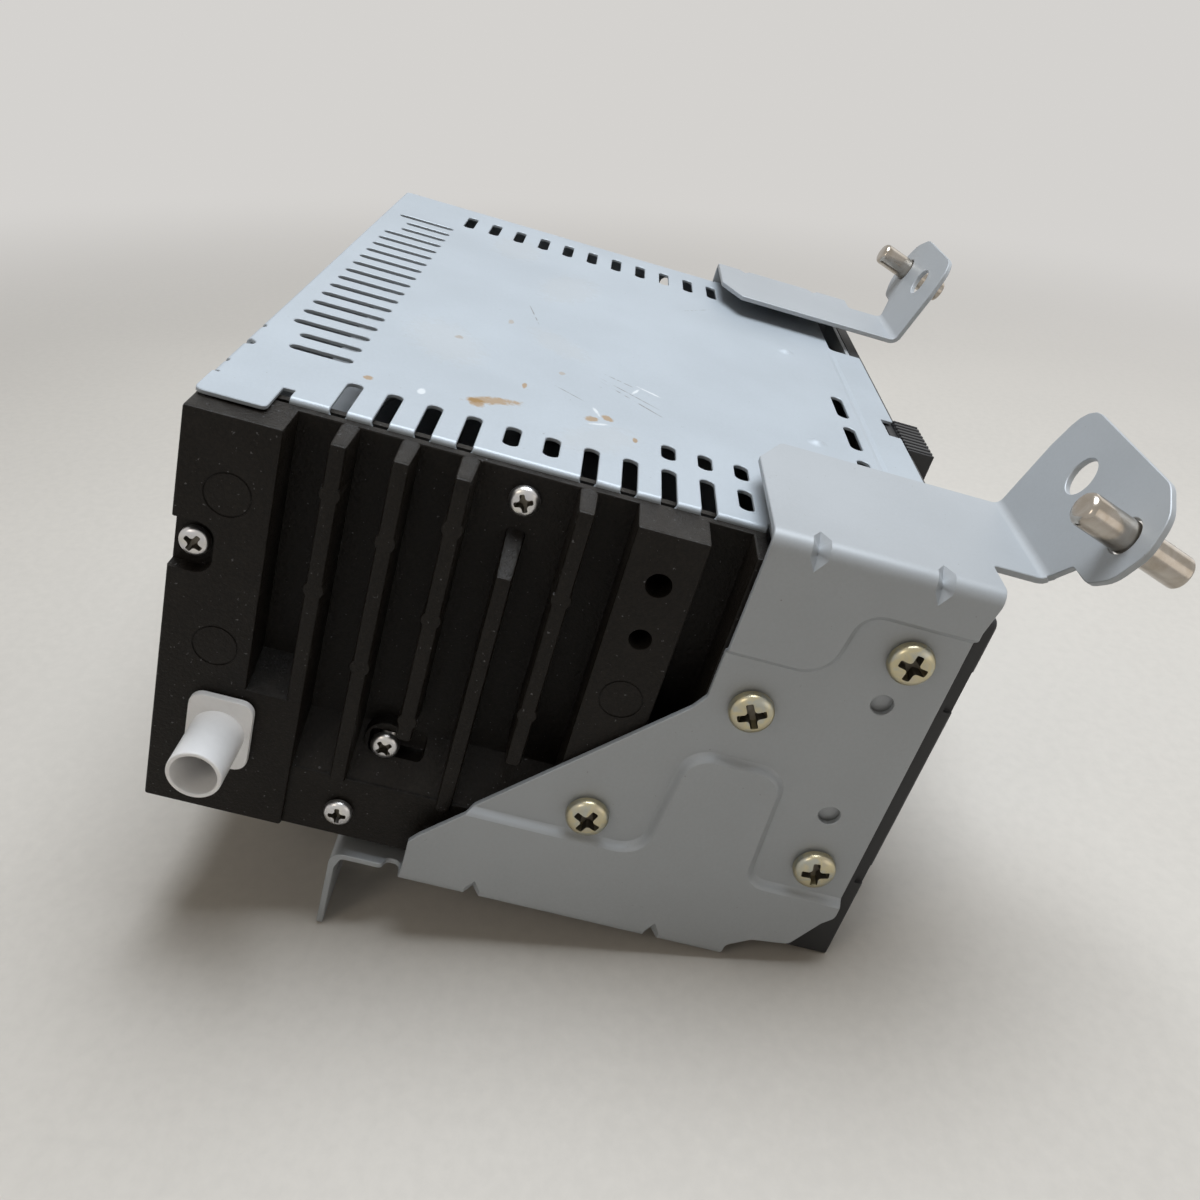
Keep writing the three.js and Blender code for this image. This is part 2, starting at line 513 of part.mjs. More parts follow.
// Top cover
const buildCover = () => {
  const edge = atLeft(coverEdge.inset);
  const rearNotch = coverEdge.rearDepth + coverEdge.notchWidth;
  const farEdge = right + seat + sheet.cover;
  const plan = outline([
    [atLeft(coverEdge.rearReach), rear],
    [atLeft(coverEdge.rearReach), atRear(coverEdge.rearDepth)],
    [edge + coverEdge.notchDepth, atRear(coverEdge.rearDepth)],
    [edge + coverEdge.notchDepth, atRear(rearNotch)],
    [edge, atRear(rearNotch)],
    [edge, atRear(sink.length)],
    [left, atRear(sink.length)],
    [left, front],
    [atLeft(frontNotch.start), front],
    [atLeft(frontNotch.start), front + frontNotch.depth],
    [atLeft(frontNotch.end), front + frontNotch.depth],
    [atLeft(frontNotch.end), front],
    [right - cornerCut.width, front],
    [right - cornerCut.width, front + cornerCut.depth],
    [farEdge, front + cornerCut.depth],
    [farEdge, rear],
  ]);
  const parts = [
    prismZ(plan, coverBottom, body.height),
    block(
      [edge, edge + sheet.cover], [atRear(sink.length), atRear(rearNotch)], [below(skirt.left), body.height]),
    block([right + seat, farEdge], [atRear(flangeStart) + seat, rear], [below(skirt.side), body.height]),
    block([sinkInner + seat, farEdge], [rear - sheet.cover, rear], [below(skirt.rear), body.height]),
  ];
  const zs = [coverBottom - overrun, body.height + overrun];
  const tools = [];
  for (let index = 0; index < rearVent.count; index += 1) {
    const middle = atLeft(rearVent.first + index * rearVent.pitch);
    const near = shortRearVents.includes(index) ? rearVent.shortNear : rearVent.near;
    const shape = turnedStadium(around(middle, rearVent.width), [atRear(rearVent.far), atRear(near)]);
    tools.push(prismZ(shape, ...zs));
  }
  for (let index = 0; index < sideVent.count; index += 1) {
    const ys = around(atRear(sideVent.first + index * sideVent.pitch), sideVent.width);
    const short = bridgeVents.includes(index);
    const from = short ? atLeft(bridge.near) : edge - overrun;
    const bottom = short ? coverBottom - overrun : below(sideVent.bendCut);
    const shape = stadium([from, atLeft(sideVent.reach)], ys);
    tools.push(prismZ(shape, bottom, body.height + overrun));
    tools.push(prismZ(stadium([right - farVent.far, right - farVent.near], ys), ...zs));
    if (index >= innerVent.firstIndex) {
      tools.push(prismZ(stadium([atLeft(innerVent.near), atLeft(innerVent.far)], ys), ...zs));
    }
  }
  frontVentShares.forEach((share) => {
    const xs = share.map((along) => atLeft(along * body.width));
    tools.push(prismZ(stadium(xs, around(front + frontVent.fromFront, frontVent.width)), ...zs));
  });
  const screwHole = smallScrew.shank + play;
  sideScrews.forEach((place) => tools.push(rodX(...place, screwHole, right, farEdge + overrun)));
  rearScrews.forEach(([x, z]) => tools.push(rodY(x, z, screwHole, caseRear, rear + overrun)));
  return cut(join(...parts), ...tools);
};
addPiece('top_cover', buildCover(), steel);

// Brackets: side is -1 for the left one and 1 for the right one
const buildBracket = (side, arm) => {
  const out = (distance) => side * (body.width / 2 + distance);
  const skin = seat + sheet.bracket;
  const raised = skin + emboss;
  const bendX = raised - bendRadius;
  const zTop = body.height + topFlange.rise + sheet.bracket;
  const zLow = -lowFlange.drop - sheet.bracket;
  const inner = bendRadius - sheet.bracket;
  const ringUp = new THREE.Shape();
  ringUp.absarc(0, 0, bendRadius, 0, Math.PI / 2, false);
  ringUp.absarc(0, 0, inner, Math.PI / 2, 0, true);
  const bendYs = {
    top: [atRear(flangeShoulder - seat), atRear(flangeStart)],
    low: [atRear(lowFlangeEnd), atRear(lowFlange.bendStart)],
  };
  const ring = (upper) => {
    const ys = upper ? bendYs.top : bendYs.low;
    const geometry = extrusion(ringUp, ys[1] - ys[0], alongY);
    if (side > 0 && !upper) geometry.rotateY(Math.PI / 2);
    if (side < 0 && upper) geometry.rotateY(-Math.PI / 2);
    if (side < 0 && !upper) geometry.rotateY(Math.PI);
    const z = upper ? zTop - bendRadius : zLow + bendRadius;
    return solidOf(onGrid(geometry.translate(out(bendX), ys[1], z)));
  };
  const slab = (shape, from, to) => prismX(shape, out(from), out(to));
  const plate = slab(sideOutline(plateShares), seat, skin);
  const zoneHull = (shares) => slab(sideOutline(shares), seat, raised);
  const hollow = (shares) => {
    const points = shares.map(sidePoint);
    const middle = [0, 1].map((axis) => points.reduce((sum, point) => sum + point[axis], 0) / points.length);
    const shrink = 1 - (2 * sheet.bracket) / (lowFlangeEnd - lowFlange.legStart);
    const drawn = points.map((point) => (
      point.map((place, axis) => middle[axis] + (place - middle[axis]) * shrink)));
    return slab(outline(drawn), seat - overrun, raised - sheet.bracket);
  };
  const upperYs = [atRear(plateShares.at(-1)[0] * body.depth), atRear(flangeStart)];
  const lowerYs = [atRear(lowFlangeEnd), sidePoint(plateShares[4])[0]];
  const stripXs = [out(raised - sheet.bracket), out(raised)].sort((a, b) => a - b);
  const strip = (ys, zs) => block(stripXs, ys, zs);
  const plan = [
    [bendX, flangeStart],
    [topFlange.corner - arm.reach, flangeStart],
    [-arm.reach, flangeStart + topFlange.corner / 2],
    [-arm.reach, flangeEnd],
    [-topFlange.inset, flangeEnd],
    [-topFlange.inset, flangeShoulder],
    [bendX, flangeShoulder],
  ].map(([distance, depth]) => [out(distance), atRear(depth)]);
  const lowPlan = [
    [bendX, lowFlange.legStart],
    [bendX - lowFlange.reach, lowFlange.legStart],
    [bendX - lowFlange.reach, lowFlangeEnd - lowFlange.notch],
    [bendX - lowFlange.reach + lowFlange.notch, lowFlangeEnd],
    [bendX, lowFlangeEnd],
  ].map(([distance, depth]) => [out(distance), atRear(depth)]);
  const legXs = [out(bendX), out(bendX - lowFlange.reach)].sort((a, b) => a - b);
  const legYs = [atRear(lowFlange.legStart), atRear(lowFlange.legStart) + sheet.bracket];
  // The leg's outer corner is square and its inner one is cut off
  const legFoot = outline([
    [bendX, zLow + sheet.bracket],
    [bendX, zLow - leg.height],
    [bendX - lowFlange.reach + leg.foot, zLow - leg.height],
    [bendX - lowFlange.reach, zLow - leg.height + leg.foot],
    [bendX - lowFlange.reach, zLow + sheet.bracket],
  ].map(([distance, height]) => [out(distance), height]));
  const drawnPlate = join(plate, zoneHull(upperZoneShares), zoneHull(lowerZoneShares));
  const pressed = cut(drawnPlate, hollow(lowerZoneShares), hollow(upperZoneShares));
  const whole = join(
    pressed,
    strip(upperYs, [below(upperZoneShares[5][1] * body.height), zTop - bendRadius]),
    strip(lowerYs, [zLow + bendRadius, below(body.height)]),
    ring(true),
    ring(false),
    prismZ(outline(plan), zTop - sheet.bracket, zTop),
    prismZ(outline(lowPlan), zLow, zLow + sheet.bracket),
    prismY(legFoot, ...legYs),
  );
  const holeXs = [out(-overrun), out(raised + overrun)];
  const screwHoles = [
    ...plateScrews.map((place) => rodX(...place, largeScrew.shank + play, ...holeXs)),
    ...plateHoleShares.map(sidePoint).map((place) => rodX(...place, plateHole.radius, ...holeXs)),
    rodY((legXs[0] + legXs[1]) / 2, zLow - leg.height / 2, leg.hole, legYs[0] - overrun, legYs[1] + overrun),
  ];
  return cut(whole, ...screwHoles);
};

// The ear of a bracket, drawn flat: u runs outwards along the bend and v up the ear
const earParts = (side, arm) => {
  const innerEnd = seat - arm.reach;
  const shape = outline([
    [innerEnd, -sheet.bracket],
    ...earInnerShares.map(([along, up]) => [innerEnd + along * ear.height, up * ear.height]),
    ...earOuterShares.map(([along, up]) => [ear.overhang - along * ear.height, up * ear.height]),
    [-topFlange.inset - seat, 0],
    [-topFlange.inset - seat, -sheet.bracket],
  ].map(([u, v]) => [side * u, v]));
  const flat = prismY(shape, 0, sheet.bracket);
  const pinU = -side * locatingPin.inset;
  const tools = [
    rodY(side * (arm.hole - arm.reach), earHole.height, earHole.radius, -overrun, sheet.bracket + overrun),
    rodY(pinU, locatingPin.height, locatingPin.radius + play, -overrun, sheet.bracket + overrun),
  ];
  const profile = [
    [0, -locatingPin.ahead], [locatingPin.radius - locatingPin.tip / 2, -locatingPin.ahead],
    [locatingPin.radius, -locatingPin.ahead + locatingPin.tip / 2],
    [locatingPin.radius, locatingPin.back - locatingPin.tip],
    [locatingPin.radius - locatingPin.tip, locatingPin.back], [0, locatingPin.back],
  ].map(([radius, height]) => new THREE.Vector2(radius, height));
  const standing = new THREE.LatheGeometry(profile, facetCounts.some);
  const pin = solidOf(standing.translate(pinU, 0, locatingPin.height));
  return { sheet: cut(flat, ...tools), pin };
};

const earFrame = (side) => {
  const group = new THREE.Group();
  const foot = body.height + topFlange.rise + sheet.bracket;
  group.position.set(side * body.width / 2, atRear(flangeEnd), foot);
  group.rotation.x = THREE.MathUtils.degToRad(ear.tilt);
  group.updateMatrix();
  radio.add(group);
  return group;
};

const placed = (solid, matrix) => solidOf(geometryOf(solid).applyMatrix4(matrix));

[['left', -1, leftArm], ['right', 1, rightArm]].forEach(([name, side, arm]) => {
  const group = earFrame(side);
  const { sheet: earSheet, pin } = earParts(side, arm);
  addPiece(`${name}_bracket`, join(buildBracket(side, arm), placed(earSheet, group.matrix)), steel);
  addPiece(`${name}_locating_pin`, pin, nickel, group);
  const headX = side * (body.width / 2 + seat + sheet.bracket + seat);
  const turn = side < 0 ? headOut.left : headOut.right;
  plateScrews.forEach((place, index) => {
    const screw = screwAt(largeScrew, [headX, ...place], turn);
    addPiece(`${name}_bracket_screw_${index + 1}`, screw, goldZinc);
  });
});

// Antenna socket
const buildAntenna = () => {
  const [y, z] = antennaPlace;
  const baseBack = left - seat;
  const baseFront = baseBack - antenna.baseThick;
  const mouth = left - antenna.length;
  const plate = rounded(around(y, antenna.base), around(z, antenna.baseHeight), antenna.corner);
  const base = prismX(plate, baseFront, baseBack);
  const tube = rodX(y, z, antenna.outer, mouth, baseBack, facetCounts.many);
  const stemEnd = left + antennaStem.length;
  const stem = rodX(y, z, antennaStem.radius, baseBack - overrun, stemEnd);
  const bore = rodX(y, z, antenna.inner, mouth - overrun, baseFront, facetCounts.some);
  const pinHole = rodX(y, z, antennaPin.radius + play, mouth, stemEnd + overrun, facetCounts.few);
  return cut(join(base, tube, stem), bore, pinHole);
};
addPiece('antenna_socket', buildAntenna(), whitePlastic);
const contactXs = [left - antennaPin.tip, left + antennaPin.tail];
addPiece('antenna_contact', rodX(...antennaPlace, antennaPin.radius, ...contactXs, facetCounts.few), nickel);

// Fascia
const buttons = [];
for (let index = 0; index < presetRow.count; index += 1) {
  const x = (index - (presetRow.count - 1) / 2) * (presetRow.width + presetRow.gap);
  const name = `preset_button_${index + 1}`;
  buttons.push({ name, x, z: rowHeights.preset, width: presetRow.width, height: presetRow.height });
}
['seek_down_button', 'band_button', 'menu_button', 'seek_up_button'].forEach((name, index, all) => {
  const x = (index - (all.length - 1) / 2) * (menuRow.width + menuRow.gap);
  buttons.push({ name, x, z: rowHeights.menu, width: menuRow.width, height: menuRow.height });
});
[['power_button', -1], ['eject_button', 1]].forEach(([name, side]) => {
  const x = side * sideButton.offset;
  buttons.push({ name, x, z: windowMiddle, width: sideButton.width, height: sideButton.height });
});
const knobs = [{ name: 'volume_knob', x: -knob.offset }, { name: 'tuning_knob', x: knob.offset }];
const connectorX = connector.offset;
const fasciaXs = [left, right];
const bossSpots = [-1, 1].flatMap((sideX) => [boardBottom, boardEdge].map((z, index) => [
  sideX * (frontBoardWidth / 2 - frontBoard.bossInset),
  z + (index ? -frontBoard.bossInset : frontBoard.bossInset),
]));

const buildFascia = () => {
  const ys = [fasciaFront, fasciaBack];
  const through = [fasciaFront - overrun, fasciaBack + overrun];
  const plate = prismY(rounded(fasciaXs, [0, sinkTop], 2 * fascia.lip), ...ys);
  const corner = block(
    [left, atLeft(fasciaCorner.width)], [fasciaFront, front + fasciaCorner.depth], [0, cornerTop]);
  const bossYs = [fasciaBack - fascia.lip, boardFace - seat];
  const bosses = bossSpots.map(([x, z]) => rodY(x, z, frontBoard.boss, ...bossYs, facetCounts.few));
  const tools = [
    prismY(stadium(slotXs, slotZs), ...through),
    prismY(rounded(around(0, window.width), around(windowMiddle, window.height), button.corner), ...through),
    block(
      around(connectorX, connector.width + 2 * play), through,
      [sinkTop - connector.height - play, body.height]),
    ...buttons.map(({ x, z, width, height }) => prismY(
      rounded(around(x, width + 2 * play), around(z, height + 2 * play), button.corner), ...through)),
    ...knobs.map(({ x }) => rodY(x, rowHeights.knob, knob.shaft + play, ...through)),
    ...sideRecessShares.map(([top, bottom]) => block(
      [left - overrun, atLeft(fascia.lip)], [fasciaFront - overrun, front],
      [below(bottom * body.height), below(top * body.height)])),
  ];
  return cut(join(plate, corner, ...bosses), ...tools);
};
addPiece('front_fascia', buildFascia(), blackPlastic);

const lensXs = around(0, window.width - 2 * play);
const lensZs = around(windowMiddle, window.height - 2 * play);
const lensYs = [fasciaFront + window.recess, fasciaFront + window.recess + lens.thick];
addPiece('display_lens', prismY(rounded(lensXs, lensZs, button.corner), ...lensYs), glassBlack);

// Buttons: drawn around their own middle and pushed to the rear by their travel
const flangeBack = fasciaBack + seat + button.flange;
const tactFront = flangeBack + button.travel + seat;
buttons.forEach(({ name, x, z, width, height }) => {
  const lipFront = fascia.thick + button.proud + seat;
  const lipBack = lipFront + button.flange;
  const cap = prismY(rounded(around(0, width), around(0, height), button.corner), 0, lipBack);
  const lip = block(
    around(0, width + 2 * button.sideLip), [lipFront, lipBack], around(0, height + 2 * button.lip));
  const mesh = addPiece(name, join(cap, lip), softBlack);
  mesh.position.set(x, fasciaFront - button.proud, z);
});

// Front board with its display, key switches and encoders soldered on
const encoderFront = fasciaBack + 2 * seat;
const buildFrontBoard = () => {
  const onBoard = (x, z, width, height, y) => (
    block(around(x, width), [y, boardFace + seat], around(z, height)));
  return join(
    block(
      around(0, frontBoardWidth), [boardFace, boardFace + frontBoard.thick],
      [boardBottom, boardEdge]),
    onBoard(
      0, windowMiddle, window.width - 2 * button.lip, window.height + 2 * button.lip,
      fasciaBack + seat),
    ...buttons.map(({ x, z }) => onBoard(x, z, tactSize, tactSize, tactFront)),
    ...knobs.map(({ x }) => onBoard(x, rowHeights.knob, encoderSize, encoderSize, encoderFront)),
  );
};
addPiece('front_board', buildFrontBoard(), circuitGreen);

// Knobs on their encoders
knobs.forEach(({ name, x }) => {
  const cap = prismY(toothed([0, 0], knob.radius, knob.ribCount, knob.rib), -knob.length, 0);
  const shaft = rodY(0, 0, knob.shaft, -knob.length / 2, fascia.thick + seat);
  const mesh = addPiece(name, join(cap, shaft), softBlack);
  mesh.position.set(x, fasciaFront - seat, rowHeights.knob);
});

// Ribbed connector at the top edge of the front
const buildConnector = () => {
  const tip = front - connector.reach;
  const top = body.height;
  const bottom = sinkTop - connector.height;
  const profile = outline([
    [tip, bottom], [fasciaBack, bottom], [fasciaBack, sinkTop], [front - seat, sinkTop], [front - seat, top],
    [tip, top],
  ]);
  const xs = around(connectorX, connector.width);
  const tools = [];
  for (let index = 0; index < connector.ribCount; index += 1) {
    const x = xs[0] + (connector.width * (index + 0.5)) / connector.ribCount;
    tools.push(block(
      around(x, connector.groove), [tip - overrun, front - 2 * seat],
      [top - connector.depth, top + overrun]));
  }
  return cut(prismX(profile, ...xs), ...tools);
};
addPiece('front_connector', buildConnector(), blackPlastic);

// Felt frame round the disc path
const feltYs = [caseFront + sheet.case + seat, caseFront + sheet.case + seat + feltStrip.thick];
const feltXs = [slotXs[0] - feltStrip.margin, slotXs[1] + feltStrip.margin];
const feltFrame = cut(
  block(feltXs, feltYs, around(slotMiddle, feltStrip.gap + 2 * feltStrip.height)),
  block(
    around(0, slot.width - feltStrip.margin), [feltYs[0] - overrun, feltYs[1] + overrun],
    around(slotMiddle, feltStrip.gap)),
);
addPiece('slot_felt', feltFrame, rubber);

// Electronics
const ampXs = [sinkInner + seat, sinkInner + seat + amplifier.thick];
const ampYs = around(amplifier.y, amplifier.length);
const ampZs = [mainBoard.bottom + seat, boardTop + amplifier.height];
const capacitorX = capacitorSpots.xShare * right;
const buildMainBoard = () => {
  const cans = [];
  for (let index = 0; index < capacitorSpots.count; index += 1) {
    const x = capacitorX - (index % 2) * capacitorSpots.pitch;
    const y = capacitorSpots.yShare * body.depth + Math.floor(index / 2) * capacitorSpots.pitch;
    cans.push(rodZ(x, y, capacitorSpots.radius, mainBoard.bottom + seat, boardTop + capacitorSpots.height));
  }
  const postHoles = postSpots.map(([x, y]) => (
    rodZ(x, y, deckPost.radius + 2 * play, mainBoard.bottom - overrun, boardTop + overrun)));
  const plate = block([ampXs[0] + seat, boardXs[1]], boardYs, [mainBoard.bottom, boardTop]);
  return join(cut(plate, ...postHoles), block(ampXs, ampYs, ampZs), ...cans);
};
addPiece('main_board', buildMainBoard(), circuitGreen);
const tunerZs = [boardTop + seat, boardTop + seat + tuner.height];
const tunerXs = around(sinkInner + tuner.offset, tuner.width);
const tunerYs = around(rear - tuner.inset, tuner.depth);
addPiece('tuner_can', block(tunerXs, tunerYs, tunerZs), caseSteel);

const buildHarness = () => {
  const ys = [rear - harness.depth, rear - sheet.cover];
  const shell = block(harnessXs, ys, harnessZs);
  const cavity = block(
    [harnessXs[0] + harness.wall, harnessXs[1] - harness.wall], [ys[1] - harness.cavity, ys[1] + overrun],
    [harnessZs[0] + harness.wall, harnessZs[1] - harness.wall]);
  const pins = [];
  const pitch = (harness.width - 2 * harness.wall) / harnessPin.count;
  const pinStart = ys[1] - harness.cavity - harness.wall;
  harnessRowShares.forEach((heightShare) => {
    for (let index = 0; index < harnessPin.count; index += 1) {
      const x = harnessXs[0] + harness.wall + (index + 0.5) * pitch;
      const z = harnessZs[0] + heightShare * harness.height;
      pins.push(block(
        around(x, harnessPin.width), [pinStart, pinStart + harnessPin.length], around(z, harnessPin.width)));
    }
  });
  return join(cut(shell, cavity), ...pins);
};
addPiece('harness_socket', buildHarness(), greyPlastic);

// Disc deck
const deckTopOfFloor = deckFloor + deck.sheet;
const deckWallTop = discPlane + deck.rise;
const deckYs = around(0, deckLength);
const rollerY = front + roller.inset;
const rollerZ = discPlane - roller.radius - roller.drop;
const idlerStep = gear.roller + gear.idler + seat;
const pinionStep = gear.idler + gear.pinion + seat;
const tilt = (degrees) => THREE.MathUtils.degToRad(degrees);
const idlerY = rollerY + idlerStep * Math.cos(tilt(gearAngle.idler));
const idlerZ = rollerZ - idlerStep * Math.sin(tilt(gearAngle.idler));
const pinionY = idlerY + pinionStep * Math.cos(tilt(gearAngle.pinion));
const pinionZ = idlerZ - pinionStep * Math.sin(tilt(gearAngle.pinion));
const gearXs = [-deckHalf - gear.gap - gear.width, -deckHalf - gear.gap];
const armZ = discPlane + clampArm.rise;
const armPivotY = rear - clampArm.inset;
const armRear = armPivotY - clampArm.depth / 2;
const armHalf = wallInner - clampArm.clear;
const pivotZ = armZ - clampEar.drop / 2;

const buildDeckFrame = () => {
  const parts = [
    block([-deckHalf, deckHalf], deckYs, [deckFloor, deckTopOfFloor]),
    block([-deckHalf, -wallInner], deckYs, [deckFloor, deckWallTop]),
    block([wallInner, deckHalf], deckYs, [deckFloor, deckWallTop]),
    block(
      [-deckHalf, -wallInner], around(pinionY, loadMotor.tab),
      [pinionZ - loadMotor.radius, deckFloor + seat]),
  ];
  const hole = (y, z, radius, side) => (
    rodX(y, z, radius, side * (wallInner - overrun), side * (deckHalf + overrun), facetCounts.few));
  const tools = [
    block(
      [-deckWindow.left, wallInner - deckWindow.rim], around(0, 2 * (traverseHalf - deckWindow.inset)),
      [deckFloor - overrun, deckTopOfFloor + overrun]),
    block([wallInner - overrun, deckHalf + overrun], [-traverseHalf - play, traverseHalf + play],
      [deckTopOfFloor, discPlane]),
    hole(rollerY, rollerZ, roller.shaft + roller.drop + play, -1),
    hole(pinionY, pinionZ, loadMotor.shaft + play, -1),
  ];
  const studs = [
    rodX(idlerY, idlerZ, pivotStud.radius, gearXs[0], -wallInner + rollerArm.thick + seat, facetCounts.few),
    rodX(idlerY, idlerZ, pivotStud.radius, wallInner - rollerArm.thick - seat, deckHalf, facetCounts.few),
    rodX(armPivotY, pivotZ, pivotStud.radius, -deckHalf, -armHalf + clampEar.thick, facetCounts.few),
    rodX(armPivotY, pivotZ, pivotStud.radius, armHalf - clampEar.thick, deckHalf, facetCounts.few),
  ];
  return join(cut(join(...parts), ...tools), ...studs);
};
addPiece('deck_frame', buildDeckFrame(), caseSteel);

const traverseBottom = discPlane - traverse.drop;
const traverseTop = traverseBottom + traverse.thick;
const railZ = traverseTop + rail.rise;
const damperXs = [-damper.x, wallInner - 2 * damper.radius];
const damperY = traverseHalf - damper.inset;
const damperSpots = damperXs.flatMap((x) => [[x, -damperY], [x, damperY]]);

const buildTraverse = () => {
  const tabZs = [traverseBottom, traverseTop + traverse.tabTop - traverse.thick];
  const tab = (x, ys) => block([x, x + traverse.tab], ys, tabZs);
  const throughZs = [traverseBottom - overrun, traverseTop + overrun];
  const tabYs = [-1, 1].map((side) => around(side * rail.offset, traverse.tabWidth));
  const plate = join(
    block([-traverse.left, traverseRight], [-traverseHalf, traverseHalf], [traverseBottom, traverseTop]),
    tab(rail.start, tabYs[0]),
    tab(rail.start, tabYs[1]),
    tab(railEnd, tabYs[0]),
    tab(railEnd, tabYs[1]),
    ...damperSpots.map((spot) => (
      rodZ(...spot, damper.radius, deckTopOfFloor + seat, traverseTop, facetCounts.few))),
  );
  const tools = [
    rodZ(0, 0, spindle.neck + play, ...throughZs),
    block([sled.start - sled.back, railEnd - seat], [-pickup.bore * 2, pickup.bore * 2], throughZs),
    block(
      [railEnd + traverse.tab + seat, traverseRight + overrun],
      around(-rail.offset, 2 * (sledMotor.radius + play)), throughZs),
    rodX(
      -rail.offset, railZ, rail.neck + play, railEnd - overrun, railEnd + traverse.tab + overrun,
      facetCounts.few),
  ];
  return cut(plate, ...tools);
};
addPiece('traverse_plate', buildTraverse(), caseSteel);

const tableBottom = discPlane - table.thick;
const buildSpindle = () => join(
  rodZ(0, 0, spindle.can, traverseBottom - seat - spindle.canDepth, traverseBottom - seat, facetCounts.some),
  rodZ(0, 0, spindle.neck, traverseBottom - seat - overrun, tableBottom - seat, facetCounts.some),
);
addPiece('spindle_motor', buildSpindle(), caseSteel);
const tableProfile = [
  [0, tableBottom], [table.radius, tableBottom], [table.radius, discPlane], [table.hub, discPlane],
  [table.crown, discPlane + table.rise], [0, discPlane + table.rise],
].map(([radius, height]) => new THREE.Vector2(radius, height));
const turned = (profile) => solidOf(new THREE.LatheGeometry(profile, facetCounts.many).rotateX(Math.PI / 2));
addPiece('turntable', turned(tableProfile), softBlack);

const railXs = [rail.start + traverse.tab + seat, railEnd - seat];
addPiece('guide_rod', rodX(rail.offset, railZ, rail.radius, ...railXs, facetCounts.few), nickel);
addPiece('lead_screw', join(
  rodX(-rail.offset, railZ, rail.radius, ...railXs, facetCounts.few),
  rodX(-rail.offset, railZ, rail.neck, railXs[1] - overrun, railEnd + traverse.tab, facetCounts.few),
), nickel);
const sledMotorX = railEnd + traverse.tab + seat;
const sledMotorXs = [sledMotorX, sledMotorX + sledMotor.length];
addPiece('sled_motor', rodX(-rail.offset, railZ, sledMotor.radius, ...sledMotorXs), caseSteel);

const sledZs = [traverseTop + sled.clear, traverseTop + sled.clear + sled.thick];
const buildSled = () => cut(
  block([sled.start - sled.back, sled.start + sled.ahead], [-sled.half, sled.half], sledZs),
  rodX(rail.offset, railZ, rail.radius + play, 0, railEnd, facetCounts.few),
  rodX(-rail.offset, railZ, rail.radius + play, 0, railEnd, facetCounts.few),
  rodZ(sled.start, 0, pickup.bore, sledZs[1] - pickup.depth - 2 * seat, sledZs[1] + overrun),
);
addPiece('pickup_sled', buildSled(), blackPlastic);
const lensZ = [sledZs[1] - pickup.depth, sledZs[1] + seat];
addPiece('objective_lens', rodZ(sled.start, 0, pickup.radius - seat, ...lensZ), glassBlack);

// Clamp arm over the disc, with the clamper in its tip
const armZs = [armZ, armZ + clampArm.thick];
const buildClampArm = () => {
  const plan = outline([
    [-armHalf, armRear], [-clampArm.tip, armRear - clampArm.depth],
    [-clamper.cap - clampArm.thick, 0], [-clamper.cap, -clamper.cap],
    [clamper.cap, -clamper.cap], [clamper.cap + clampArm.thick, 0],
    [clampArm.tip, armRear - clampArm.depth], [armHalf, armRear],
    [armHalf, armRear + clampArm.depth], [-armHalf, armRear + clampArm.depth],
  ]);
  const earYs = [armRear, armRear + clampArm.depth];
  const earZs = [armZ - clampEar.drop, armZ + seat];
  const plate = join(
    prismZ(plan, ...armZs),
    block([-armHalf, -armHalf + clampEar.thick], earYs, earZs),
    block([armHalf - clampEar.thick, armHalf], earYs, earZs),
  );
  return cut(
    plate,
    rodX(armPivotY, pivotZ, pivotStud.radius + play, -deckHalf, deckHalf, facetCounts.few),
    rodZ(0, 0, clamper.neck + play, armZ - overrun, armZs[1] + overrun, facetCounts.some),
  );
};
addPiece('clamp_arm', buildClampArm(), caseSteel);
const clamperBottom = discPlane + disc.thick + seat;
const clamperTop = armZs[1] + seat;
const clamperProfile = [
  [0, clamperBottom + table.rise], [table.hub + seat, clamperBottom + table.rise],
  [table.hub + seat, clamperBottom], [clamper.radius, clamperBottom],
  [clamper.radius, clamperBottom + clamper.thick], [clamper.neck, clamperBottom + clamper.thick],
  [clamper.neck, clamperTop], [clamper.cap, clamperTop],
  [clamper.cap, clamperTop + clamper.capThick], [0, clamperTop + clamper.capThick],
].map(([radius, height]) => new THREE.Vector2(radius, height));
addPiece('clamper', turned(clamperProfile), softBlack);

// Loading rollers and their gears
const armXs = [wallInner - seat - rollerArm.thick, wallInner - seat];
const buildRollerArm = () => {
  const link = outline([
    [rollerY - rollerArm.width / 2, rollerZ - rollerArm.width / 2], [idlerY, idlerZ - rollerArm.width / 2],
    [idlerY + rollerArm.width / 2, idlerZ], [idlerY, idlerZ + rollerArm.width / 2],
    [rollerY, rollerZ + rollerArm.width / 2], [rollerY - rollerArm.width / 2, rollerZ],
  ]);
  const barYs = [rollerY + roller.radius + 2 * seat, rollerY + roller.radius + 2 * seat + rollerArm.bar];
  const barZs = [rollerZ - rollerArm.width / 2, rollerZ];
  const links = join(prismX(link, ...armXs), prismX(link, -armXs[1], -armXs[0]));
  return cut(
    join(links, block([-armXs[1], armXs[1]], barYs, barZs)),
    rodX(idlerY, idlerZ, pivotStud.radius + play, -deckHalf, deckHalf, facetCounts.few),
    rodX(rollerY, rollerZ, roller.shaft + play, -deckHalf, deckHalf, facetCounts.few),
  );
};
addPiece('roller_arm', buildRollerArm(), caseSteel);

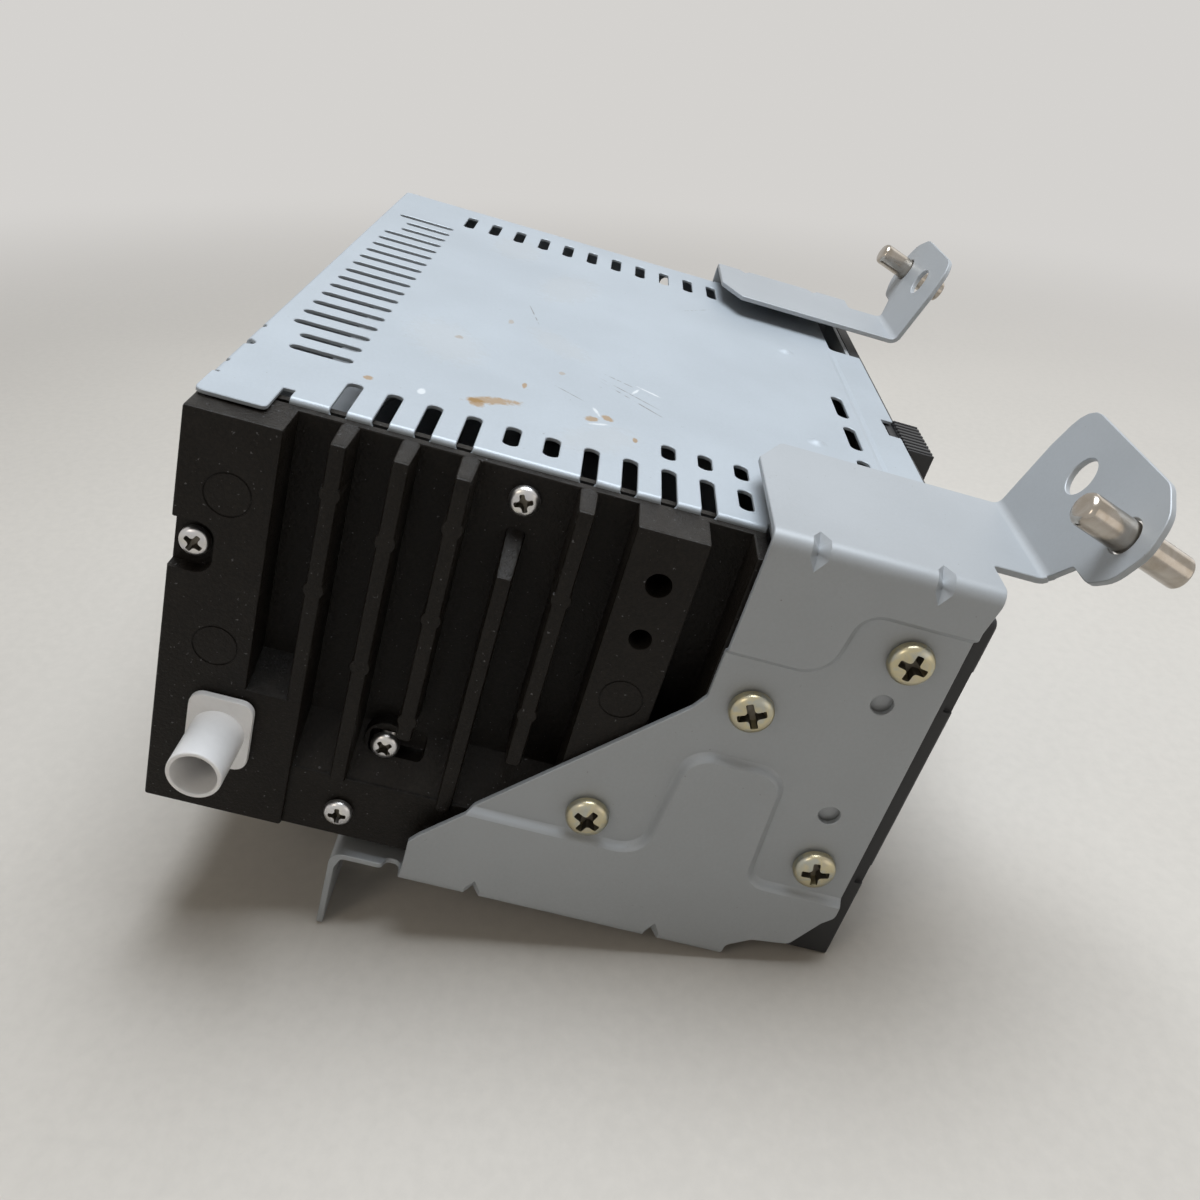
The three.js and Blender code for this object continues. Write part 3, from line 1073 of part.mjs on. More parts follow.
const buildRoller = () => {
  const waist = roller.radius - roller.core;
  const half = armXs[0] - roller.clear;
  const profile = [
    [0, -half], [roller.radius, -half], [waist, -half / 3],
    [waist, half / 3], [roller.radius, half], [0, half],
  ].map(([radius, height]) => new THREE.Vector2(radius, height));
  const lying = new THREE.LatheGeometry(profile, facetCounts.some).rotateZ(-Math.PI / 2);
  const rubberPart = solidOf(lying.translate(0, rollerY, rollerZ));
  const wheel = prismX(toothed([rollerY, rollerZ], gear.roller, toothCounts.rollerCount, gear.tooth), ...gearXs);
  return join(rubberPart, rodX(rollerY, rollerZ, roller.shaft, gearXs[0], armXs[1], facetCounts.few), wheel);
};
addPiece('feed_roller', buildRoller(), rubber);

const buildIdler = () => cut(
  prismX(toothed([idlerY, idlerZ], gear.idler, toothCounts.idlerCount, gear.tooth), ...gearXs),
  rodX(idlerY, idlerZ, pivotStud.radius + play, gearXs[0] - overrun, gearXs[1] + overrun, facetCounts.few),
);
addPiece('idler_gear', buildIdler(), whitePlastic);

const motorXs = [-wallInner + seat, -wallInner + seat + loadMotor.length];
addPiece('loading_motor', rodX(pinionY, pinionZ, loadMotor.radius, ...motorXs), caseSteel);
addPiece('motor_pinion', join(
  prismX(toothed([pinionY, pinionZ], gear.pinion, toothCounts.pinionCount, gear.tooth), ...gearXs),
  rodX(pinionY, pinionZ, loadMotor.shaft, gearXs[0] + overrun, motorXs[0] - seat, facetCounts.few),
), whitePlastic);

const guideZs = [discPlane + disc.thick + guide.rise, discPlane + disc.thick + guide.rise + guide.thick];
const guideXs = [-wallInner + seat, wallInner - seat];
const guideYs = [front + guide.inset, front + guide.inset + guide.length];
addPiece('disc_guide', block(guideXs, guideYs, guideZs), blackPlastic);

export default radio;
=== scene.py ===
# The looks of a car CD radio with its two mounting brackets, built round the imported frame.
import math

import bmesh
import bpy
import numpy as np
from mathutils import Matrix, Vector
from mathutils.geometry import delaunay_2d_cdt


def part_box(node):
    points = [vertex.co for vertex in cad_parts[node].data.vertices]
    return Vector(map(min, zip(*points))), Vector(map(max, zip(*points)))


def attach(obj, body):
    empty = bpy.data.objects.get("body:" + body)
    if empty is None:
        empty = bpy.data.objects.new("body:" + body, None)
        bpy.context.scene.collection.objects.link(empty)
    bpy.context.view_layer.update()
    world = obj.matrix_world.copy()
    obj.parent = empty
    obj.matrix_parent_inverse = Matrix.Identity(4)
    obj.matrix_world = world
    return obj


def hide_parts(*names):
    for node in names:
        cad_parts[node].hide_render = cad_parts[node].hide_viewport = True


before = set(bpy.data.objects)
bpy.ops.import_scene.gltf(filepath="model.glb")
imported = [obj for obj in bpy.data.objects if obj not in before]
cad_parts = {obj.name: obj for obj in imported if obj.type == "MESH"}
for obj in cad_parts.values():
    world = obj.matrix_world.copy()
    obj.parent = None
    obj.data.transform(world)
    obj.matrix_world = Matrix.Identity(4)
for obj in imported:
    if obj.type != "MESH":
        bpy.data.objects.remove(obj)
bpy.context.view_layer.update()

# Sizes in the dictionaries are millimetres in the frame's axes:
# X to the right as seen from the front, Y to the rear, Z up
toMetres = 0.001
body = {"width": 178, "height": 80, "depth": 132.5}
left, right = -body["width"] / 2, body["width"] / 2
front, rear = -body["depth"] / 2, body["depth"] / 2
seat = 0.3  # gap between pieces that rest on each other
overrun = 1  # how far a cut runs past what it cuts


def atRear(distance):
    return rear - distance


def atLeft(distance):
    return left + distance


# Shader helpers
class Wire:
    # an output socket that can stand in an expression on values
    def __init__(self, finish, socket):
        self.finish, self.socket = finish, socket

    def math(self, operation, other, swapped=False):
        first, second = (other, self) if swapped else (self, other)
        return self.finish.node("Math", {"operation": operation}, {0: first, 1: second})

    def __add__(self, other):
        return self.math("ADD", other)

    def __sub__(self, other):
        return self.math("SUBTRACT", other)

    def __rsub__(self, other):
        return self.math("SUBTRACT", other, True)

    def __mul__(self, other):
        return self.math("MULTIPLY", other)

    __radd__ = __add__
    __rmul__ = __mul__


class Finish:
    # a material, and the one method that makes its nodes
    def __init__(self, name, **constants):
        self.material = bpy.data.materials.new(name)
        self.material.use_nodes = True
        self.tree = self.material.node_tree
        self.shader = self.tree.nodes["Principled BSDF"]
        for socketName, value in constants.items():
            self.shader.inputs[socketName.replace("_", " ")].default_value = value
        place = self.node("TexCoord", output="Object")
        # the place on the surface in millimetres
        self.spot = self.node("VectorMath", {"operation": "SCALE"}, {0: place, "Scale": 1 / toMetres})

    def node(self, kind, settings=None, values=None, output=0):
        made = self.tree.nodes.new("ShaderNode" + kind)
        for key, value in (settings or {}).items():
            if key == "stops":
                while len(made.color_ramp.elements) < len(value):
                    made.color_ramp.elements.new(0.5)
                for element, (position, color) in zip(made.color_ramp.elements, value):
                    element.position, element.color = position, color
            else:
                setattr(made, key, value)
        for key, value in (values or {}).items():
            self.feed(made.inputs[key], value)
        return Wire(self, made.outputs[output])

    def feed(self, socket, value):
        if isinstance(value, Wire):
            self.tree.links.new(value.socket, socket)
        else:
            socket.default_value = value

    def noise(self, size, detail=2.0, rough=0.5, stretch=None, warp=0.0):
        # size is the width of one blotch in millimetres
        where = self.spot
        if stretch:
            where = self.node("VectorMath", {"operation": "MULTIPLY"}, {0: where, 1: stretch})
        return self.node("TexNoise", None, {
            "Vector": where, "Scale": 1 / size, "Detail": detail, "Roughness": rough, "Distortion": warp})

    def span(self, value, low, high, outLow=0.0, outHigh=1.0):
        return self.node("MapRange", {"interpolation_type": "SMOOTHSTEP", "clamp": True}, {
            "Value": value, "From Min": low, "From Max": high, "To Min": outLow, "To Max": outHigh})

    def blend(self, factor, first, second, mode="MIX"):
        settings = {"data_type": "RGBA", "blend_type": mode}
        return self.node("Mix", settings, {0: factor, 6: first, 7: second}, 2)

    def mottled(self, value, low, high, tone, darker, lighter):
        # one tone, drifting between two shades of it
        return self.blend(self.span(value, low, high), shade(tone, darker), shade(tone, lighter))

    def ramp(self, value, *stops):
        return self.node("ValToRGB", {"stops": stops}, {"Fac": value})

    def dress(self, color, rough, height, strength, depth):
        # depth is the bump's, in millimetres
        bump = self.node("Bump", None, {"Strength": strength, "Distance": depth * toMetres, "Height": height})
        for socketName, value in (("Base Color", color), ("Roughness", rough), ("Normal", bump)):
            self.feed(self.shader.inputs[socketName], value)
        return self.material

    def upward(self):
        # 1 where the surface faces up, as dust settles
        normal = self.node("NewGeometry", output="Normal")
        return self.span(self.node("SeparateXYZ", None, {0: normal}, 2), 0.3, 0.95)

    def axis(self, index):
        return self.node("SeparateXYZ", None, {0: self.spot}, index)

    def patch(self, x, y, halfX, halfY, turn=0.0, ragged=None):
        # 1 inside an ellipse on the XY plane, fading to 0 at its rim
        cos, sin = math.cos(math.radians(turn)), math.sin(math.radians(turn))
        dx, dy = self.axis(0) - x, self.axis(1) - y
        along = dx * (cos / halfX) + dy * (sin / halfX)
        across = dy * (cos / halfY) - dx * (sin / halfY)
        reach = along * along + across * across
        if ragged:
            reach = reach + ragged
        return self.span(reach, 1.0, 0.25)


def rgb(red, green, blue):
    return (red, green, blue, 1.0)


def shade(color, factor):
    return rgb(*[min(1.0, part * factor) for part in color[:3]])


# Materials
coverWear = {
    "brown": rgb(0.3, 0.18, 0.065),
    "grime": rgb(0.36, 0.33, 0.29),
    "scratchColor": rgb(0.17, 0.16, 0.15),
    # x, y, half length, half width, turn
    "stains": [(-55.4, 21.8, 6.5, 2.1, -58), (-58.5, 24.5, 2.6, 1.8, 0), (-43, 17.3, 1.6, 0.6, 0),
               (-60.8, 43.8, 1.3, 1, 0), (-48.3, 0.6, 1.9, 1.2, 30), (-50.6, 3.6, 2, 1.3, -30),
               (-55.5, -4.9, 1.4, 0.6, 0)],
    "chalk": [(-26.5, -7.3, 3.4, 0.45, 60), (-28.6, -4.6, 2.6, 0.4, -20), (-46, 3, 2.6, 0.5, 20),
              (-52.4, 2, 2.4, 0.5, -60), (-60.2, 34.3, 1.6, 0.8, 0)],
    "chalkColor": rgb(0.75, 0.76, 0.76),
    "smudges": [(-30, 35, 15, 9, 20), (35, 14, 18, 8, -15), (-12, 13, 11, 6, 40), (60, 30, 14, 8, 0),
                (-60, 2, 12, 6, -40)],
    "scratches": [(-34.5, -4.5, 11, 0.28, 50), (-31, -3.5, 9, 0.22, 54), (-25, -1.5, 5, 0.25, 62),
                  (-40, 9, 5, 0.2, 55), (5, 20, 8, 0.2, 15), (50, -20, 7, 0.2, -40)],
    "rust": [(71, -4.3, 1.6, 1.0, 0), (-25.4, 32.9, 1.4, 1.1, 0), (-5.6, 24.3, 2.2, 0.8, 0),
             (-30, 10.8, 1.2, 0.8, 0)],
    # which marks take which colour, and how much of it
    "marks": [("stains", "brown", 0.75), ("rust", "brown", 0.4), ("chalk", "chalkColor", 0.5)],
}


def sheetSteel(name, tone, wear=None):
    finish = Finish(name, Metallic=0.25, IOR=1.5)
    cloudy = finish.noise(34, 3, 0.55)
    speckle = finish.noise(0.6, 4, 0.7)
    rolled = finish.noise(1.6, 3, 0.6, stretch=(1, 0.06, 1))
    color = finish.mottled(cloudy * 0.6 + speckle * 0.4, 0.34, 0.66, tone, 0.95, 1.04)
    dirt = finish.span(finish.noise(1.1, 3, 0.7), 0.7, 0.76)
    color = finish.blend(dirt * 0.45, color, rgb(0.12, 0.095, 0.07))
    rough = 0.42 + cloudy * 0.08 + speckle * 0.08
    if wear:
        ragged = finish.noise(1.8, 4, 0.65) * 2.2 - 1.1
        top = finish.span(finish.axis(2), body["height"] - 1, body["height"] - 0.6)
        for smudge in wear["smudges"]:
            mask = finish.patch(*smudge, ragged) * top
            color = finish.blend(mask * 0.16, color, wear["grime"])
            rough = rough + mask * 0.08
        for marks, tone, share in wear["marks"]:
            for mark in wear[marks]:
                mask = finish.patch(*mark, ragged) * top
                color = finish.blend(mask * share, color, wear[tone])
                rough = rough + mask * 0.25
        broken = finish.span(finish.noise(2.2, 2, 0.6), 0.4, 0.55)
        for scratch in wear["scratches"]:
            mask = finish.patch(*scratch) * top * broken
            color = finish.blend(mask * 0.8, color, wear["scratchColor"])
    return finish.dress(color, rough, speckle * 0.6 + rolled * 0.4, 0.15, 0.05)


def castMetal(name, tone):
    finish = Finish(name, IOR=1.26)
    grain = finish.noise(0.7, 4, 0.7)
    # light specks: dust, and painted glints for the sparkle of the cast grain
    dustAndGlints = finish.span(finish.noise(0.8, 2, 0.6), 0.69, 0.74)
    lumps = finish.noise(2.4, 3, 0.55)
    dust = finish.span(finish.noise(9, 5, 0.7), 0.45, 0.75)
    color = finish.mottled(grain, 0.35, 0.7, tone, 0.75, 1.5)
    color = finish.blend(dust * 0.1 + dust * finish.upward() * 0.3, color, rgb(0.06, 0.056, 0.05))
    color = finish.blend(dustAndGlints * 0.5, color, rgb(0.2, 0.2, 0.21))
    rough = 0.2 + grain * 0.34 + dust * 0.12
    return finish.dress(color, rough, grain * 0.75 + lumps * 0.25, 0.9, 0.3)


def plated(name, *stops, rough=0.24, brushed=(1, 1, 1)):
    # bright plating whose tint drifts over each piece
    finish = Finish(name, Metallic=1.0)
    drift = finish.noise(2.6, 2, 0.5, warp=0.6)
    fine = finish.noise(0.25, 3, 0.6, stretch=brushed)
    return finish.dress(finish.ramp(drift, *stops), rough + fine * 0.12, fine, 0.12, 0.02)


def moulded(name, tone, rough, grainSize=0.35, strength=0.3, fleck=None, sheen=0.0, vary=0.16):
    # plastic, rubber, felt and painted board
    finish = Finish(name, Sheen_Weight=sheen)
    grain = finish.noise(grainSize, 3, 0.6)
    cloud = finish.noise(grainSize * 40, 2, 0.5)
    color = finish.mottled(cloud * 0.6 + grain * 0.4, 0.35, 0.65, tone, 1 - vary, 1 + vary)
    if fleck:
        flecks = finish.span(finish.noise(grainSize * 6, 4, 0.7), 0.6, 0.7)
        color = finish.blend(flecks * 0.5, color, fleck)
    return finish.dress(color, rough + grain * 0.12 - 0.06, grain, strength, 0.05)


steelTone = rgb(0.4, 0.44, 0.48)
finishes = {
    "cover": sheetSteel("zinc_sheet_scuffed", steelTone, coverWear),
    "sheet": sheetSteel("zinc_sheet", rgb(0.37, 0.39, 0.41)),
    "case": sheetSteel("case_sheet", rgb(0.4, 0.42, 0.44)),
    "casting": castMetal("black_cast_aluminium", rgb(0.009, 0.0072, 0.0056)),
    "gold": plated("yellow_zinc", (0.3, rgb(0.48, 0.44, 0.33)), (0.5, rgb(0.54, 0.48, 0.31)),
                   (0.68, rgb(0.44, 0.44, 0.38))),
    "bright": plated("bright_zinc", (0.3, rgb(0.6, 0.6, 0.62)), (0.7, rgb(0.68, 0.66, 0.62))),
    # the screws' cross recesses, coloured dark: painted shade
    "recess": plated("recess_painted_shade", (0.3, rgb(0.1, 0.09, 0.07)), (0.7, rgb(0.2, 0.18, 0.15)), rough=0.4),
    "nickel": plated("nickel", (0.3, rgb(0.38, 0.335, 0.28)), (0.7, rgb(0.48, 0.445, 0.4)), rough=0.14,
                     brushed=(1, 0.08, 1)),
    "white": moulded("white_plastic", rgb(0.9, 0.9, 0.91), 0.3, 1.2, 0.04, vary=0.02),
    "black": moulded("black_plastic", rgb(0.014, 0.014, 0.015), 0.5),
    "soft": moulded("soft_black", rgb(0.02, 0.02, 0.022), 0.62, 0.25),
    "rubber": moulded("roller_rubber", rgb(0.02, 0.02, 0.02), 0.8, 0.2, 0.5),
    "felt": moulded("felt", rgb(0.03, 0.03, 0.032), 0.95, 0.18, 1.0, sheen=0.4),
    "board": moulded("circuit_board", rgb(0.02, 0.09, 0.04), 0.4, 0.5, 0.3, fleck=rgb(0.16, 0.2, 0.08)),
    "lens": moulded("dark_lens", rgb(0.006, 0.007, 0.01), 0.1, 0.4, 0.03),
    "grey": moulded("grey_plastic", rgb(0.14, 0.15, 0.16), 0.5),
    "print": moulded("white_print", rgb(0.7, 0.71, 0.72), 0.5, 0.3, 0.1, vary=0.04),
}
print("materials made:", len(finishes))


# Mesh helpers: everything is drawn in millimetres
def eased(mesh, edges, radius, segments):
    bmesh.ops.bevel(mesh, geom=edges, offset=radius, segments=segments, profile=0.5, affect="EDGES")


def roundBlock(xs, ys, zs, radius=0.0, segments=2):
    mesh = bmesh.new()
    bmesh.ops.create_cube(mesh, size=1)
    size = [high - low for low, high in (xs, ys, zs)]
    middle = [(high + low) / 2 for low, high in (xs, ys, zs)]
    mesh.transform(Matrix.Translation(middle) @ Matrix.Diagonal((*size, 1)))
    if radius:
        eased(mesh, mesh.edges[:], radius, segments)
    return mesh


def roundedPath(points, radius=0.0, steps=4):
    # a corner may carry its own radius as a third number
    path = []
    for index, corner in enumerate(points):
        here = Vector(corner[:2])
        wanted = corner[2] if len(corner) > 2 else radius
        before = Vector(points[index - 1][:2]) - here
        after = Vector(points[(index + 1) % len(points)][:2]) - here
        angle = before.angle(after)
        if wanted <= 0 or angle > math.pi - 0.02:
            path.append(here)
            continue
        reach = min(wanted / math.tan(angle / 2), 0.5 * before.length, 0.5 * after.length)
        start, end = here + before.normalized() * reach, here + after.normalized() * reach
        real = reach * math.tan(angle / 2)
        centre = here + (before.normalized() + after.normalized()).normalized() * (real / math.sin(angle / 2))
        first = math.atan2(start.y - centre.y, start.x - centre.x)
        turn = math.atan2(end.y - centre.y, end.x - centre.x) - first
        turn = (turn + math.pi) % (2 * math.pi) - math.pi
        for step in range(steps + 1):
            at = first + turn * step / steps
            path.append(centre + real * Vector((math.cos(at), math.sin(at))))
    kept = [point for index, point in enumerate(path) if (point - path[index - 1]).length > 1e-3]
    return [tuple(point) for point in kept]


def rectangle(low, high, radius=0.0, steps=4):
    points = [(low[0], low[1]), (high[0], low[1]), (high[0], high[1]), (low[0], high[1])]
    return roundedPath(points, radius, steps)


def slotPath(low, high):
    return rectangle(low, high, min(high[0] - low[0], high[1] - low[1]) / 2, 5)


def circle(a, b, radius, count=24):
    turns = [2 * math.pi * index / count for index in range(count)]
    return [(a + radius * math.cos(turn), b + radius * math.sin(turn)) for turn in turns]


axes = {
    "x": Matrix(((0, 0, 1, 0), (1, 0, 0, 0), (0, 1, 0, 0), (0, 0, 0, 1))),
    "y": Matrix(((1, 0, 0, 0), (0, 0, 1, 0), (0, 1, 0, 0), (0, 0, 0, 1))),
    "z": Matrix.Identity(4),
}


def facedOut(mesh):
    mesh.normal_update()
    bmesh.ops.recalc_face_normals(mesh, faces=mesh.faces[:])
    if mesh.calc_volume(signed=True) < 0:
        bmesh.ops.reverse_faces(mesh, faces=mesh.faces[:])
    return mesh


def prism(path, low, high, axis="z", radius=0.0, segments=2, ends="both"):
    # a path in the two other axes, drawn from low to high along the axis
    mesh = bmesh.new()
    lower = [mesh.verts.new((a, b, low)) for a, b in path]
    upper = [mesh.verts.new((a, b, high)) for a, b in path]
    caps = {"low": mesh.faces.new(lower[::-1]), "high": mesh.faces.new(upper)}
    for index in range(len(path)):
        mesh.faces.new((lower[index - 1], lower[index], upper[index], upper[index - 1]))
    facedOut(mesh)
    if radius:
        rims = [edge for name, cap in caps.items() if ends in ("both", name) for edge in cap.edges]
        eased(mesh, rims, radius, segments)
    mesh.transform(axes[axis])
    return facedOut(mesh)


def rod(axis, a, b, radius, low, high, count=28, edge=0.0):
    return prism(circle(a, b, radius, count), low, high, axis, edge)


def turned(profile, count=40):
    # spins (radius, height) points round Z; the profile starts and ends on the axis, or closes on itself
    mesh = bmesh.new()
    rings = []
    for radius, height in profile:
        if radius < 1e-6:
            rings.append([mesh.verts.new((0, 0, height))])
        else:
            rings.append([mesh.verts.new((a, b, height)) for a, b in circle(0, 0, radius, count)])
    closed = len(rings[0]) > 1
    pairs = list(zip(rings, rings[1:])) + ([(rings[-1], rings[0])] if closed else [])
    for first, second in pairs:
        for index in range(count):
            ring = [first[index - 1], first[index]] if len(first) > 1 else [first[0]]
            ring += [second[index], second[index - 1]] if len(second) > 1 else [second[0]]
            mesh.faces.new(ring)
    return facedOut(mesh)


def softProfile(points, radius, steps=3):
    # rounds the inner corners of a profile, and keeps its two ends
    inner = [(*point, radius)[:3] for point in points[1:-1]]
    return roundedPath([(*points[0], 0), *inner, (*points[-1], 0)], 0, steps)


def placed(mesh, spot, turn):
    mesh.transform(Matrix.Translation(spot) @ turn)
    return mesh


def stored(name, mesh):
    data = bpy.data.meshes.new(name)
    mesh.to_mesh(data)
    mesh.free()
    return data


def linked(name, data):
    made = bpy.data.objects.new(name, data)
    bpy.context.collection.objects.link(made)
    return made


def carve(base, joins=(), cuts=()):
    target = linked("tool", stored("tool", base))
    tools = []
    for operation, meshes in (("UNION", joins), ("DIFFERENCE", cuts)):
        for mesh in meshes:
            tool = linked("tool", stored("tool", mesh))
            modifier = target.modifiers.new("carve", "BOOLEAN")
            modifier.operation, modifier.solver, modifier.object = operation, "MANIFOLD", tool
            tools.append(tool)
    graph = bpy.context.evaluated_depsgraph_get()
    result = bmesh.new()
    result.from_mesh(target.evaluated_get(graph).to_mesh())
    for used in [target] + tools:
        data = used.data
        bpy.data.objects.remove(used)
        bpy.data.meshes.remove(data)
    return result


def joined(*meshes):
    # several closed bodies kept in one mesh
    whole = bmesh.new()
    for mesh in meshes:
        data = stored("part", mesh)
        whole.from_mesh(data)
        bpy.data.meshes.remove(data)
    return whole


def addPiece(name, mesh, materials, nodes, owner="chassis", smooth=32):
    # edges sharper than smooth degrees stay crisp
    mesh.transform(Matrix.Scale(toMetres, 4))
    data = stored(name, mesh)
    for material in materials:
        data.materials.append(finishes[material])
    data.shade_smooth()
    data.set_sharp_from_angle(angle=math.radians(smooth))
    piece = linked(name, data)
    piece.modifiers.new("normals", "WEIGHTED_NORMAL").keep_sharp = True
    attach(piece, owner)
    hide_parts(*nodes)


# Sheet metal: a flat pattern with holes, cut into triangles, then folded by a function
def within(points, path):
    x, y = points[:, 0], points[:, 1]
    inside = np.zeros(len(points), bool)
    for index in range(len(path)):
        (x0, y0), (x1, y1) = path[index - 1], path[index]
        if y0 != y1:
            inside ^= ((y0 > y) != (y1 > y)) & (x < (x1 - x0) * (y - y0) / (y1 - y0) + x0)
    return inside


def distanceTo(points, path):
    nearest = np.full(len(points), 1e9)
    for index in range(len(path)):
        start, end = np.array(path[index - 1]), np.array(path[index])
        along = end - start
        share = np.clip(((points - start) @ along) / max(along @ along, 1e-9), 0, 1)
        nearest = np.minimum(nearest, np.hypot(*(points - start - share[:, None] * along).T))
    return nearest


def gridPoints(low, high, spacing):
    rows = []
    step = spacing * math.sqrt(3) / 2
    for row, b in enumerate(np.arange(low[1], high[1], step)):
        rows += [(a, b) for a in np.arange(low[0] + (row % 2) * spacing / 2, high[0], spacing)]
    return rows


sheetRim = 0.14  # bevel along every cut edge
clearOfEdge = 0.4  # extra points keep this far from edges and bends


def foldedSheet(outline, holes, thick, place, grids, lines, loops, stride=0.7):
    # grids are (low, high, spacing) fields of extra points
    # lines and loops keep the triangles in step with a bend
    points, links = [], []

    def addLoop(loop):
        start = len(points)
        points.extend(loop)
        links.extend((start + index, start + (index + 1) % len(loop)) for index in range(len(loop)))

    for loop in [outline] + holes:
        addLoop(loop)
    field = np.array([point for grid in grids for point in gridPoints(*grid)]).reshape(-1, 2)
    keep = within(field, outline)
    for hole in holes:
        keep &= ~within(field, hole)
    for loop in [outline] + holes + loops + lines:
        keep &= distanceTo(field, loop) > clearOfEdge
    points += [tuple(point) for point in field[keep]]
    for (a0, b0), (a1, b1) in lines:
        count = max(1, int(math.hypot(a1 - a0, b1 - b0) / stride))
        links += [(len(points) + index, len(points) + index + 1) for index in range(count)]
        points += [(a0 + (a1 - a0) * index / count, b0 + (b1 - b0) * index / count)
                   for index in range(count + 1)]
    for loop in loops:
        addLoop(loop)
    flat, _, triangles, *_ = delaunay_2d_cdt([Vector(point) for point in points], links, [], 0, 1e-4)
    flatArray = np.array([tuple(point) for point in flat])
    middles = np.array([flatArray[list(triangle)].mean(0) for triangle in triangles])
    solid = within(middles, outline)
    for hole in holes:
        solid &= ~within(middles, hole)
    mesh = bmesh.new()
    outer, inner = [[mesh.verts.new(spot) for spot in np.column_stack(place(*flatArray.T, t))]
                    for t in (0, thick)]
    uses = {}
    for triangle, good in zip(triangles, solid):
        if good:
            mesh.faces.new([outer[index] for index in triangle])
            mesh.faces.new([inner[index] for index in reversed(triangle)])
            for index in range(3):
                pair = (triangle[index - 1], triangle[index])
                uses.setdefault(tuple(sorted(pair)), []).append(pair)
    for (first, second), *others in uses.values():
        if not others:
            mesh.faces.new((outer[second], outer[first], inner[first], inner[second]))
    loose = [vert for vert in mesh.verts if not vert.link_faces]
    bmesh.ops.delete(mesh, geom=loose, context="VERTS")
    facedOut(mesh)
    sides = [face for face in mesh.faces if len(face.verts) == 4]
    rims = {edge for face in sides for edge in face.edges
            if sum(len(other.verts) == 4 for other in edge.link_faces) == 1}
    eased(mesh, list(rims), sheetRim, 1)
    return mesh


def bendLines(start, arc, low, high, axis, steps):
    # lines across a bend that begins at start and is arc long
    lines = []
    for step in range(steps + 1):
        at = start + arc * step / steps
        lines.append([(at, low), (at, high)] if axis == 0 else [(low, at), (high, at)])
    return lines


def offsetPath(path, distance):
    # moves a closed path outwards
    area = sum(path[i - 1][0] * path[i][1] - path[i][0] * path[i - 1][1] for i in range(len(path)))
    sign = 1 if area > 0 else -1
    moved = []
    for index, here in enumerate(path):
        before, after = path[index - 1], path[(index + 1) % len(path)]
        first = Vector((here[0] - before[0], here[1] - before[1])).normalized()
        second = Vector((after[0] - here[0], after[1] - here[1])).normalized()
        normal = Vector((first.y + second.y, -first.x - second.x)).normalized() * sign
        reach = distance / max(0.5, normal.dot(Vector((first.y, -first.x)) * sign))
        moved.append((here[0] + normal.x * reach, here[1] + normal.y * reach))
    return moved


def smooth(values):
    values = np.clip(values, 0, 1)
    return values * values * (3 - 2 * values)


# Brackets: a is the depth behind the rear face, w runs up the plate and on over its top and bottom bends
bracket = {
    "thick": 1.2, "skin": 1.5, "emboss": 1.5, "step": 1.4, "bend": 2.6, "top": 85.4, "low": -4.5,
    "neck": 132.35, "earBend": 140.413, "earRadius": 1.8, "tilt": 17,
    "legBend": 38.5, "legRadius": 1.5, "corner": 0.8,
    "screwHole": 2.2, "plateHole": 2, "pinHole": 3.3, "earHole": 3.6, "earHoleHeight": 14.5,
    "screws": [(0.9245, 0.14), (0.7592, 0.35), (0.6023, 0.731), (0.9298, 0.7238)],
    "holes": [(121.56, 59.12), (121.7, 34)],
    "legHole": (28.644, -16.984, 3.2),
    "topGussets": [101, 122], "lowGussets": [63.5, 99],
    "gussetDepth": 1.7, "gussetWidth": 1.5, "gussetReach": 2.4,
}
pinSize = {"radius": 2.95, "back": 10.4, "ahead": 10.95, "height": 13.8, "tip": 1.2, "inset": 0.2,
           "earDepth": 10.5}
arms = {-1: {"name": "left", "reach": 38.5, "hole": 16}, 1: {"name": "right", "reach": 31.3, "hole": 14.2}}
plateRear = [(45.8, -5.984, 1), (46.3, -8, 1.2), (48.9, -8, 1.2), (49.2, -4.6, 0.4), (49.55, -0.5),
             (49.55, 6), (51, 8), (91.03, 49.2), (92.75, 52), (93, 77.6), (93, 86.884)]
plateFront = [(141.7, 94.984), (132.3, 94.984), (132.3, 86.884), (132, 82.8), (131.04, 77.6), (131.04, 12, 2),
              (129.06, 10, 2), (124.95, 3.04, 2), (117.9, 2, 2), (113.55, -0.96, 1.5), (113.5, -5.984),
              (113.5, -22.984), (108.5, -27.984), (38.5, -27.984), (24.644, -27.984, 1.5),
              (19.644, -22.984, 1.5), (19.644, -5.984, 1)]
# v up the ear and u outwards from the side of the case; the inner end moves with the arm's reach
earInner = [(14, 0, 3), (23.9, 1.5, 8)]
earOuter = [(23.9, -1, 6), (20.6, 5.2, 6), (14.5, 7.54, 6), (8, 5.6, 6), (4.6, 1.4, 4), (4.5, -4.6, 1.2),
            (0, -8, 1)]
upperZone = [(80, 62.8), (109.6, 62.8, 5.5), (111.3, 76.2, 5), (150, 76.2), (150, 140), (80, 140)]
lowerZone = [(35, 15.5), (92.2, 15.5, 6), (94, 40, 4.5), (110.5, 40, 4.5), (111.6, 14.6, 4.5), (145, 14.6),
             (145, -60), (35, -60)]
zones = [roundedPath(zone, 0, 8) for zone in (upperZone, lowerZone)]
stepLoops = (0, 0.35, 0.7, 1.05, 1.4)  # rows of points across the pressed step
bendArc = bracket["bend"] * math.pi / 2
bendOut = bracket["skin"] + bracket["emboss"] - bracket["bend"]
topBend, lowBend = bracket["top"] - bracket["bend"], bracket["low"] + bracket["bend"]
flangeZero = topBend + bendArc + bendOut  # w over the side of the case
earTilt = math.radians(90 - bracket["tilt"])
earLong = bracket["earRadius"] * earTilt
earZero = 141.741  # a where v is 0, after what the ear's bend saves


